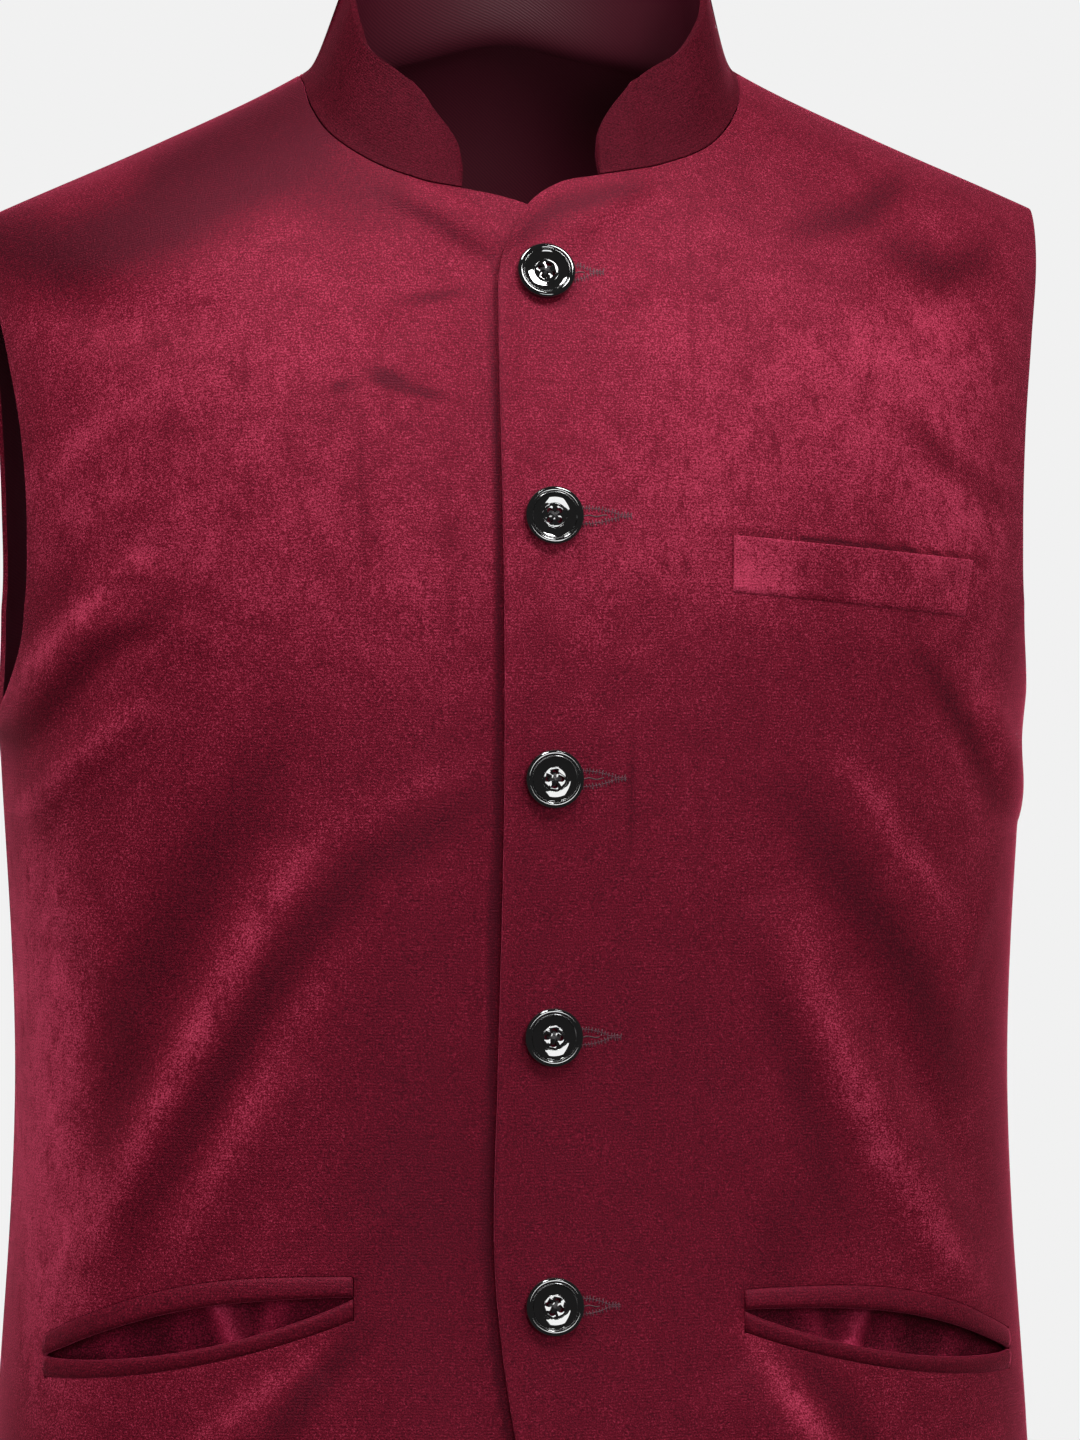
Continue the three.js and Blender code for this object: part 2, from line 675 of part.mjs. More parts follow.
function collarSolid() {
  const base = collarBase();
  const columns = base.map(({ point, normal, fromEnd }, j) => {
    const before = base[Math.max(j - 1, 0)].point;
    const after = base[Math.min(j + 1, base.length - 1)].point;
    const along = unit(add(after, before, -1));
    const off = unit(cross(along, normal));
    const inward = unit([-point[0], -ridgeForward - point[1], 0]);
    const isOnward = off[0] * inward[0] + off[1] * inward[1] + off[2] > 0;
    const onward = isOnward ? off : off.map((value) => -value);
    const flat = unit([along[1], -along[0], 0]);
    const inside = flat[0] * inward[0] + flat[1] * inward[1] > 0 ? flat : flat.map((value) => -value);
    const side = Math.abs(inside[0]);
    const end = inside[1] > 0 ? collarLean.front : collarLean.back;
    const lean = unit(add([0, 0, 1], inside, mix(end, collarLean.side, side * side)));
    return { point, normal, fromEnd, onward, lean, outside: inside.map((value) => -value) };
  });
  const height = (column) => collarHeightAt(column.fromEnd);
  const layer = (depth) => collarRows.map((share) => columns.map((column) => {
    const up = height(column) * share;
    const turned = collarTurn * (1 - Math.exp(-up / collarTurn));
    const start = add(column.point, column.onward, collarSeat + turned);
    const raised = add(start, column.lean, up - turned);
    const tilt = collarLean.side * column.lean[2];
    const upright = unit(add(column.outside, [0, 0, 1], tilt));
    const bent = share ? 1 - Math.exp(-up / collarTurn) : 0;
    const normal = unit(column.normal.map((value, c) => mix(value, upright[c], bent)));
    return add(raised, normal, -depth);
  }));
  return wallSolid(layer(0), layer(collarWall));
}

// Pockets and welt

function slitOf(hand) {
  return hand > 0 ? leftSlit : rightSlit;
}

function onFront(hand, x, z, lift) {
  return clothPoint(false, hand, ...placeOf(false, x, z), lift);
}

// The heights of a pocket's seams and lips at a share of the way along its slit.
function pocketLines(hand, share) {
  const slit = slitOf(hand);
  const x = mix(slit.inner.x, slit.outer.x, share);
  const z = mix(slit.inner.z, slit.outer.z, share);
  const bulge = Math.sin(Math.PI * clamp(share, 0, 1)) ** pocketBulge;
  return {
    x,
    seamAbove: z + jetWidth + gape * bulge,
    lipAbove: z + seamGap / 2 + gape * lipShare.above * bulge,
    lipBelow: z - seamGap / 2 - gape * lipShare.below * bulge,
    seamBelow: z - jetWidth - gape * bulge,
  };
}

function shares(steps, inset = 0) {
  return Array.from({ length: steps + 1 }, (_, i) => mix(inset, 1 - inset, i / steps));
}

function pocketCutter(hand) {
  const layer = (lift) => ['seamBelow', 'seamAbove'].map((line) => shares(pocketSteps).map((share) => {
    const lines = pocketLines(hand, share);
    return onFront(hand, lines.x, lines[line], lift);
  }));
  return wallSolid(layer(cutter.out), layer(-cutter.in));
}

// One jet: a folded strip, rounded at the lip, from the seam to the mouth.
function jetSolid(hand, seamLine, lipLine) {
  const { inner, outer } = slitOf(hand);
  const inset = seamGap / (outer.x - inner.x);
  const rings = shares(pocketSteps, inset).map((share) => {
    const lines = pocketLines(hand, share);
    const seam = lines[seamLine] + Math.sign(lines[lipLine] - lines[seamLine]) * seamGap;
    return jetSection.map(({ out, lift }) => onFront(hand, lines.x, mix(seam, lines[lipLine], out), lift));
  });
  return barSolid(rings);
}

function facingSolid(hand) {
  const layer = (depth) => shares(4).map((down) => shares(pocketSteps).map((share) => {
    const wide = mix(-facing.past, 1 + facing.past, share);
    const lines = pocketLines(hand, wide);
    const z = mix(lines.seamBelow - facing.below, lines.seamAbove + facing.above, down);
    const sunk = facing.pouch * Math.sin(Math.PI * share) * Math.sin(Math.PI * down);
    return onFront(hand, lines.x, z, -wall - facing.behind - sunk - depth);
  }));
  return wallSolid(layer(0), layer(facing.wall));
}

function weltSolid() {
  const layer = (lift) => shares(2).map((up) => shares(8).map((share) => {
    const x = mix(welt.inner.x, welt.outer.x - welt.slant * (1 - up), share);
    const z = mix(welt.inner.z, welt.outer.z, share) - welt.height * (1 - up);
    return onFront(1, x, z, lift + welt.gape * up * up);
  }));
  return wallSolid(layer(welt.seat + welt.wall), layer(welt.seat));
}

// Buttons

function buttonSolid() {
  const { radius, thick, dish, holeRadius, holeCircle } = button;
  const profile = [
    [0, 0],
    [radius * 0.72, 0],
    [radius * 0.97, thick * 0.34],
    [radius, thick * 0.6],
    [radius * 0.95, thick * 0.9],
    [radius * 0.87, thick],
    [radius * 0.8, thick * 0.9],
    [radius * 0.68, thick - dish],
    [0, thick - dish],
  ];
  const turned = new THREE.LatheGeometry(profile.map(([r, z]) => new THREE.Vector2(r, z)), 20);
  let solid = toManifold(turned.rotateX(Math.PI / 2));
  for (let i = 0; i < 4; i++) {
    const angle = Math.PI / 4 + (i * Math.PI) / 2;
    const hole = new THREE.CylinderGeometry(holeRadius, holeRadius, thick * 3, 6).rotateX(Math.PI / 2);
    hole.translate(Math.cos(angle) * holeCircle, Math.sin(angle) * holeCircle, 0);
    solid = solid.subtract(toManifold(hole));
  }
  return fromManifold(solid);
}

function placeButton(mesh, height, turn) {
  const place = placeOf(false, 0, height);
  mesh.position.set(...clothPoint(false, 1, ...place, button.seat));
  const facingOut = new THREE.Vector3(...bodyNormal(false, ...place));
  const up = new THREE.Vector3(0, 0, 1);
  const right = new THREE.Vector3().crossVectors(up, facingOut).normalize();
  const top = new THREE.Vector3().crossVectors(facingOut, right);
  mesh.quaternion.setFromRotationMatrix(new THREE.Matrix4().makeBasis(right, top, facingOut));
  mesh.rotateZ(THREE.MathUtils.degToRad(turn));
  return mesh;
}

// The jacket

const group = new THREE.Group();

for (const [name, hand, edge] of [['left', 1, overEdge], ['right', -1, underEdge]]) {
  const whole = toManifold(frontPanel(hand, edge, hand < 0));
  const panel = fromManifold(whole.subtract(toManifold(pocketCutter(hand))));
  group.add(piece(`front_${name}`, panel, velvet, 0.8));
  group.add(piece(`${name}_jet_upper`, jetSolid(hand, 'seamAbove', 'lipAbove'), velvet, 0.8));
  group.add(piece(`${name}_jet_lower`, jetSolid(hand, 'seamBelow', 'lipBelow'), velvet, 0.8));
  group.add(piece(`${name}_pocket_facing`, facingSolid(hand), darkVelvet, 0.85));
}
group.add(piece('back', backPanel(), velvet, 0.8));
group.add(piece('collar', collarSolid(), darkVelvet, 0.8));
group.add(piece('chest_welt', weltSolid(), velvet, 0.8));

const buttonGeometry = buttonSolid();
buttonHeights.forEach((height, i) => {
  group.add(placeButton(piece(`button_${i + 1}`, buttonGeometry, gloss, 0.18), height, buttonTurns[i]));
});

export default group;
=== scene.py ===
import math

import bpy
import numpy as np
from mathutils import Matrix, Vector


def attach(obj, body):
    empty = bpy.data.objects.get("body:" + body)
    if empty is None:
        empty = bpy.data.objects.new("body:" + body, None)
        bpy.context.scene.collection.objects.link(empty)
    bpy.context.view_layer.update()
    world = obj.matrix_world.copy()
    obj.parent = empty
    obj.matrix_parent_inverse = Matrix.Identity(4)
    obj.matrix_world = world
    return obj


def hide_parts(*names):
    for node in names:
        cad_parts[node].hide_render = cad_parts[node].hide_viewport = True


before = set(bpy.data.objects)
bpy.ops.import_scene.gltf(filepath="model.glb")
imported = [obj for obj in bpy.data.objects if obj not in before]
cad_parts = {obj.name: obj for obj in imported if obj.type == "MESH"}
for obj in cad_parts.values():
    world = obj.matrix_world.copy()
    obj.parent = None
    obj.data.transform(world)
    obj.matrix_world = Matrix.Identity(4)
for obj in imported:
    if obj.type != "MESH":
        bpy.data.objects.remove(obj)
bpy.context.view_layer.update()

# A sleeveless Nehru jacket in velvet. Sizes in the tables are in millimetres, as the solids' are,
# and meshes are made in metres.
mm = 0.001

# helpers for numbers and curves


def mix(a, b, share):
    return a + (b - a) * share


def smooth(low, high, value):
    share = np.clip((value - low) / (high - low), 0, 1)
    return share * share * (3 - 2 * share)


def unit(a):
    return a / np.linalg.norm(a, axis=-1, keepdims=True)


def shares(steps, inset=0):
    return np.linspace(inset, 1 - inset, steps + 1)


def bell(off):
    return np.exp(-(off**2))


# how far along each point of a line is, from the lengths of its spans
def runOf(spans):
    return np.concatenate([[0], np.cumsum(spans)])


def rowsAt(at, run, rows):
    return np.stack([np.interp(at, run, column) for column in rows.T], -1)


# a smooth curve through a table's rows: the value in a column where the first column's is at
def curveThrough(rows, at, column=1):
    table = np.array(sorted(rows), float)
    x, y = table[:, 0], table[:, column]
    slope = np.diff(y) / np.diff(x)
    slopes = np.concatenate([slope[:1], (y[2:] - y[:-2]) / (x[2:] - x[:-2]), slope[-1:]])
    k = np.clip(np.searchsorted(x, at, side="right") - 1, 0, len(x) - 2)
    step = x[k + 1] - x[k]
    s = np.clip((at - x[k]) / step, 0, 1)
    h = 1 - s
    ends = h * h * (1 + 2 * s) * y[k] + s * s * (1 + 2 * h) * y[k + 1]
    return ends + h * h * s * step * slopes[k] - s * s * h * step * slopes[k + 1]


# the body's surface, as the solids have it

body = {
    "hem": -700,
    "dome": -220,  # above this level the body rounds over to the shoulder ridge
    "underarm": -267,
    "neckHalf": 92,
    "shoulderHalf": 221,
    "ridgeForward": 24,
    "seamForward": 0.07,  # the shoulder seam lies this far in front of the ridge
    "ringPower": 2.4,
    "meanHalf": 215,
    "meanDepth": 120,
    "domeHalf": (220, 226),
    "frontFullness": (1.3, 2.1),  # at the centre and at the tip
    "backFullness": (2.6, 2.1),
    # z, half width, front depth, back depth
    "levels": [
        (-740, 229, 129, 113), (-700, 226, 128, 112), (-570, 217, 125, 108), (-420, 208.5, 119, 101),
        (-290, 214, 121, 112), (-220, 220, 122, 117), (-150, 226, 122, 117),
    ],
    "ridge": [(-40, 36), (0, 50), (40, 36), (92, 2), (150, -25), (221, -55), (260, -74)],
    "ease": 0.12,
    "easeReach": 0.4,
    # from the first of these heights to the second, z comes to gain a share of x on the left, where the
    # shoulder is higher, and another on the right
    "stance": (-300, -60, 0.023, 0.02),
    "wall": 2.2,
    "seamGap": 0.3,
}


# a quarter of the ring round the body, finely sampled so that places on it go by real length
def makeRing():
    angle = np.linspace(0, math.pi / 2, 601)
    across = np.sin(angle) ** (2 / body["ringPower"])
    deep = np.clip(np.cos(angle), 0, 1) ** (2 / body["ringPower"])
    run = runOf(np.hypot(np.diff(across) * body["meanHalf"], np.diff(deep) * body["meanDepth"]))
    return {"across": across, "deep": deep, "share": run / run[-1]}


ring = makeRing()


def ridgeZ(x):
    return curveThrough(body["ridge"], np.abs(x))


def fullness(isBack, x):
    (frontCentre, tip), (backCentre, _) = body["frontFullness"], body["backFullness"]
    centre = np.where(isBack, backCentre, frontCentre)
    return mix(centre, tip, smooth(0, body["shoulderHalf"], np.abs(x)))


# share runs from the centre (0) to the side seam (1), rise from the hem (0) to the dome's base (1)
# and on to the ridge (2)
def bodyPoint(isBack, share, rise):
    isBack, share, rise = np.broadcast_arrays(isBack, share, rise)
    overRidge, pastSide = rise > 2, share > 1
    isBack = isBack ^ overRidge ^ pastSide
    rise = np.where(overRidge, 4 - rise, rise)
    share = np.where(pastSide, 2 - share, share)
    across = np.interp(np.abs(share), ring["share"], ring["across"]) * np.sign(share)
    deep = np.interp(np.abs(share), ring["share"], ring["deep"])
    turn = np.clip(rise - 1, 0, 1) * math.pi / 2
    low = mix(body["hem"], body["dome"], np.minimum(rise, 1))
    half = np.where(rise <= 1, curveThrough(body["levels"], low, 1), mix(*body["domeHalf"], np.sin(turn)))
    depth = np.where(isBack, curveThrough(body["levels"], low, 3), curveThrough(body["levels"], low, 2))
    x = across * half
    full = fullness(isBack, x)
    z = np.where(rise <= 1, low, body["dome"] + (ridgeZ(x) - body["dome"]) * np.sin(turn) ** (2 / full))
    # the solids turn into the dome at once, the cloth does it gradually
    climb = (z - body["dome"]) / (ridgeZ(x) - body["dome"])
    ease = body["ease"] * bell(climb / body["easeReach"])
    climb = np.clip((climb + np.sqrt(climb**2 + ease**2)) / 2, 0, 1)
    out = (1 - climb**full) ** (1 / full)
    forward = body["ridgeForward"] * (1 - smooth(0, body["shoulderHalf"], np.abs(x))) * climb ** (full / 2)
    y = np.where(isBack, 1, -1) * deep * depth * out - forward
    return np.stack([x, y, z], -1)


def bodyNormal(isBack, share, rise):
    step = 0.004
    level = np.where(isBack, rise, np.minimum(rise, 2 - body["seamForward"] / 2 - step))
    wide = bodyPoint(isBack, share + step, level) - bodyPoint(isBack, share - step, level)
    high = bodyPoint(isBack, share, level + step) - bodyPoint(isBack, share, level - step)
    normal = unit(np.cross(wide, high))
    return np.where(np.asarray(isBack)[..., None], -normal, normal)


# share and rise of a face's point at x and z
def placeOf(isBack, x, z):
    x, z = np.broadcast_arrays(np.asarray(x, float), np.asarray(z, float))
    isLow = z <= body["dome"]
    up = np.clip((z - body["dome"]) / (ridgeZ(x) - body["dome"]), 0, 1)
    turn = np.where(isLow, 0, np.arcsin(up ** (fullness(isBack, x) / 2)))
    half = np.where(isLow, curveThrough(body["levels"], z, 1), mix(*body["domeHalf"], np.sin(turn)))
    share = np.sign(x) * np.interp(np.abs(x) / half, ring["across"], ring["share"])
    lowRise = (z - body["hem"]) / (body["dome"] - body["hem"])
    return np.stack([share, np.where(isLow, lowRise, 1 + turn / (math.pi / 2))], -1)


# folds: the solids' largest ones first, then the finer creases that only show here
# each one is its path in x and z, its spread to each side, and its rise or dip

folds = {
    "dip": 0.8,
    "ends": 0.7,
    "freeAtSide": 0.06,
    "freeAtShoulder": 0.1,
    "front": [
        ([(-214, -276), (-196, -246), (-174, -220)], 13, 3.5),
        ([(-207, -312), (-190, -286), (-168, -262)], 12, 3),
        ([(-98, -318), (-122, -360), (-152, -420), (-178, -478), (-190, -520)], 17, 5),
        ([(-100, -402), (-124, -440), (-150, -484)], 13, 2.5),
        ([(84, -340), (118, -400), (157, -460), (184, -512)], 17, 4.5),
        ([(184, -258), (200, -284), (210, -310)], 12, 3.5),
        ([(-94, -526), (-122, -556), (-146, -612), (-156, -690)], 20, 4.5),
        ([(74, -528), (98, -556), (116, -620), (122, -700)], 20, 5),
        ([(-60, -50), (-38, -60), (-14, -76)], 9, 2.2),
        ([(48, -46), (28, -58), (6, -72)], 9, 2),
        ([(-205, -92), (-170, -104), (-128, -100)], 16, -3),
        ([(205, -92), (172, -100), (136, -96)], 16, -3),
        ([(-40, -580), (-52, -640), (-56, -700)], 24, 3),
        ([(185, -560), (192, -620), (190, -700)], 22, 4),
    ],
    "back": [
        ([(-190, -120), (-150, -150), (-96, -160)], 18, -3.5),
        ([(190, -120), (154, -146), (104, -152)], 18, -3),
        ([(-198, -250), (-150, -300), (-108, -372)], 20, 4.5),
        ([(200, -262), (160, -306), (120, -360)], 19, 4),
        ([(-70, -400), (0, -412), (78, -404)], 15, -3.5),
        ([(-120, -372), (-30, -366), (60, -376)], 14, 3),
        ([(-92, -470), (-108, -570), (-118, -700)], 26, 5.5),
        ([(4, -500), (10, -600), (6, -700)], 30, 4.5),
        ([(96, -456), (116, -560), (130, -700)], 25, 5.5),
        ([(-176, -520), (-184, -610), (-186, -700)], 20, 4),
        ([(180, -540), (186, -620), (188, -700)], 20, 3.5),
    ],
    "fineFront": [
        ([(-196, -334), (-172, -372), (-150, -428)], 8, 1.1),
        ([(-140, -330), (-160, -384), (-186, -430)], 9, 1.2),
        ([(-88, -360), (-104, -398), (-128, -446)], 7, -0.9),
        ([(-60, -452), (-82, -482), (-94, -500)], 8, 0.8),
        ([(196, -330), (176, -372), (160, -420)], 8, 1.0),
        ([(120, -350), (146, -400), (176, -452)], 8, -0.9),
        ([(66, -420), (84, -456), (92, -492)], 8, 0.8),
        ([(-192, -206), (-168, -196), (-140, -204)], 8, -0.9),
        ([(-186, -232), (-160, -226), (-128, -240)], 7, 0.8),
        ([(192, -206), (170, -214), (150, -240)], 8, -0.8),
        ([(-44, -100), (-66, -112), (-84, -134)], 8, -0.7),
        ([(20, -110), (44, -100), (70, -108)], 8, -0.6),
        ([(-176, -560), (-182, -610), (-172, -676)], 10, 1.2),
        ([(60, -590), (66, -640), (60, -690)], 12, 1.2),
        ([(150, -566), (158, -610), (150, -680)], 10, 1.3),
        ([(-96, -600), (-104, -650), (-100, -696)], 10, 1.1),
    ],
    "fineBack": [
        ([(-120, -410), (-40, -424), (30, -418)], 8, 1.3),
        ([(110, -384), (40, -392), (-20, -388)], 8, -1.1),
        ([(-150, -200), (-90, -214), (-30, -204)], 9, 1.1),
        ([(140, -196), (90, -216), (40, -212)], 9, 1.0),
        ([(-176, -300), (-150, -350), (-142, -420)], 9, 1.3),
        ([(172, -300), (150, -344), (140, -410)], 9, 1.2),
        ([(-60, -520), (-64, -600), (-56, -690)], 12, 1.3),
        ([(60, -520), (64, -610), (70, -690)], 12, 1.2),
        ([(-150, -480), (-156, -560), (-148, -640)], 10, -1.1),
        ([(-40, -60), (0, -76), (44, -62)], 10, -1.2),
    ],
}


def foldHeight(rows, x, z):
    height = np.zeros_like(x)
    for path, spread, rise in rows:
        points = np.array(path, float)
        spans = np.diff(points, axis=0)
        lengths = np.hypot(*spans.T)
        runs = runOf(lengths)
        away, along = np.full_like(x, 1e9), np.zeros_like(x)
        for start, span, length, run in zip(points, spans, lengths, runs):
            s = np.clip(((x - start[0]) * span[0] + (z - start[1]) * span[1]) / length**2, 0, 1)
            there = np.hypot(x - start[0] - s * span[0], z - start[1] - s * span[1])
            along = np.where(there < away, (run + s * length) / runs[-1], along)
            away = np.minimum(there, away)
        off = (away / spread) ** 2
        fade = np.clip(np.sin(math.pi * along), 0, 1) ** folds["ends"]
        height += rise * (1 - folds["dip"] * off) * np.exp(-off) * fade
    return height


# a point of the jacket's outside, moved out by lift
def clothPoint(isBack, hand, place, lift=0, fine=1):
    share, rise = place[..., 0], place[..., 1]
    base = bodyPoint(isBack, share, rise)
    normal = bodyNormal(isBack, share, rise)
    toShoulder = 2 - body["seamForward"] - rise
    free = smooth(0, folds["freeAtSide"], 1 - share) * smooth(0, folds["freeAtShoulder"], toShoulder)
    height = foldHeight(folds["back" if isBack else "front"], base[..., 0] * hand, base[..., 2])
    if fine:
        height = height + fine * foldHeight(
            folds["fineBack" if isBack else "fineFront"], base[..., 0] * hand, base[..., 2]
        )
    point = (base + normal * (lift + free * height)[..., None]) * [hand, 1, 1]
    low, high, leftTilt, rightTilt = body["stance"]
    tilt = np.where(point[..., 0] > 0, leftTilt, rightTilt)
    point[..., 2] += tilt * point[..., 0] * smooth(low, high, point[..., 2])
    return point


# even steps of real length along a smooth curve through places of a face
def alongCloth(isBack, places, steps, perSpan=40):
    p = np.array(places, float)
    p = np.vstack([2 * p[0] - p[1], p, 2 * p[-1] - p[-2]])
    fine = []
    for a, b, c, d in zip(p, p[1:], p[2:], p[3:]):
        da, db, dc = [max(np.hypot(*(n - m)) ** 0.5, 1e-4) for m, n in ((a, b), (b, c), (c, d))]
        t1 = ((b - a) / da - (c - a) / (da + db) + (c - b) / db) * db
        t2 = ((c - b) / db - (d - b) / (db + dc) + (d - c) / dc) * db
        t = np.arange(perSpan)[:, None] / perSpan
        fine.append(b + t1 * t + (3 * (c - b) - 2 * t1 - t2) * t**2 + (2 * (b - c) + t1 + t2) * t**3)
    fine = np.vstack([*fine, p[-2:-1]])
    points = bodyPoint(isBack, fine[:, 0], fine[:, 1])
    run = runOf(np.linalg.norm(np.diff(points, axis=0), axis=1))
    return rowsAt(shares(steps) * run[-1], run, fine)


# a grid of places between four sides: how fast a bent side's pull dies away towards the other one
pull = {"inner": 1.5, "outer": np.array([2.2, 1.4])}


def fillSides(bottom, top, inner, outer):
    climb = [(side[:, 1] - side[0, 1]) / (side[-1, 1] - side[0, 1]) for side in (inner, outer)]
    w = ((climb[0] + climb[1]) / 2)[:, None, None]
    u = shares(len(bottom) - 1)[None, :, None]
    ruled = mix(bottom[None], top[None], w)
    innerBend = (inner[:, None] - ruled[:, :1]) * (1 - u) ** pull["inner"]
    outerBend = (outer[:, None] - ruled[:, -1:]) * u ** pull["outer"]
    return ruled + innerBend + outerBend


# meshes


def quadsOf(rows, columns):
    corner = (np.arange(rows - 1)[:, None] * columns + np.arange(columns - 1)).reshape(-1)
    return np.stack([corner, corner + 1, corner + columns + 1, corner + columns], -1)


# the closed wall between an outer and an inner grid of points; kept says which of its squares are cloth
def makeWall(name, outer, inner, kept=None):
    rows, columns = outer.shape[:2]
    count = rows * columns
    quads = quadsOf(rows, columns)
    if kept is not None:
        quads = quads[kept.reshape(-1)]
    sides = np.stack([quads, np.roll(quads, -1, axis=1)], -1).reshape(-1, 2)
    code = sides[:, 0] * count + sides[:, 1]
    isRim = ~np.isin(code, sides[:, 1] * count + sides[:, 0])
    a, b = sides[isRim].T
    rim = np.stack([b, a, a + count, b + count], -1)
    faces = np.vstack([quads, rim, quads[:, ::-1] + count])
    inside = np.zeros(len(faces), int)
    inside[len(quads) + len(rim):] = 1
    points = np.vstack([outer.reshape(-1, 3), inner.reshape(-1, 3)])
    p, q, r = (points[faces[:, k]] for k in (0, 1, 2))
    s = points[faces[:, 3]]
    volume = (np.cross(p, q) * r).sum() + (np.cross(p, r) * s).sum()
    if volume < 0:
        faces = faces[:, ::-1]
    used, faces = np.unique(faces, return_inverse=True)
    faces = faces.reshape(-1, 4)
    return makeMesh(name, points[used], faces, inside), used


def addThing(name, data):
    thing = bpy.data.objects.new(name, data)
    bpy.context.scene.collection.objects.link(thing)
    return thing


def makeMesh(name, points, faces, inside=None):
    mesh = bpy.data.meshes.new(name)
    mesh.from_pydata((points * mm).tolist(), [], [[int(v) for v in face] for face in faces])
    if inside is not None:
        mesh.polygons.foreach_set("material_index", np.asarray(inside, np.int32))
    mesh.shade_smooth()
    return addThing(name, mesh)


def setPointValues(piece, name, values):
    attribute = piece.data.attributes.new(name, "FLOAT", "POINT")
    attribute.data.foreach_set("value", np.asarray(values, np.float32))


def setClothMap(piece, flat):
    layer = piece.data.uv_layers.new(name="cloth")
    corner = np.zeros(len(piece.data.loops), np.int32)
    piece.data.loops.foreach_get("vertex_index", corner)
    layer.data.foreach_set("uv", (flat[corner] * mm).astype(np.float32).reshape(-1))


# the lie of the pile, with the painted light and shade laid on it, and the cloth map of a wall, alike on its
# outer and its inner face
def layCloth(piece, used, napAndShading, flat):
    setPointValues(piece, "napAndShading", np.tile(napAndShading.reshape(-1), 2)[used])
    setClothMap(piece, np.tile(flat.reshape(-1, 2), (2, 1))[used])


def roundEdges(piece, width):
    bevel = piece.modifiers.new("edge", "BEVEL")
    bevel.width = width * mm
    bevel.segments = 3
    bevel.limit_method = "ANGLE"
    bevel.angle_limit = math.radians(50)
    bevel.use_clamp_overlap = True


def dress(piece, materials, nodes):
    for material in materials:
        piece.data.materials.append(material)
    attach(piece, "root")
    if nodes:
        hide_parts(*nodes)
    return piece


# finishes


def paint(code):
    values = [int(code[k:k + 2], 16) / 255 for k in (1, 3, 5)]
    return [v / 12.92 if v <= 0.04045 else ((v + 0.055) / 1.055) ** 2.4 for v in values] + [1]


def addNode(tree, kind, inputs, **settings):
    node = tree.nodes.new(kind)
    for name, value in settings.items():
        setattr(node, name, value)
    for name, value in inputs.items():
        if isinstance(value, bpy.types.NodeSocket):
            tree.links.new(value, node.inputs[name])
        else:
            node.inputs[name].default_value = value
    return node


def newMaterial(name):
    material = bpy.data.materials.new(name)
    material.use_nodes = True
    material.node_tree.nodes.clear()
    return material


velvetLook = {
    "dark": "#26040b",
    "mid": "#530a19",
    "light": "#a0344d",
    "gleam": "#ff6084",
    "sheen": "#d8486a",
    "sheenWeight": 0.6,
    "specular": 0.5,
    "start": -0.66,
    "grain": 0.65,  # mm between tufts of the pile, drawn a little coarse so that it shows
    "smudge": 16,  # mm across the patches that hands have brushed
    "blotch": 6,  # mm across the spots where the pile is crushed
    "rows": 1.25,  # mm between the rows of the pile
}


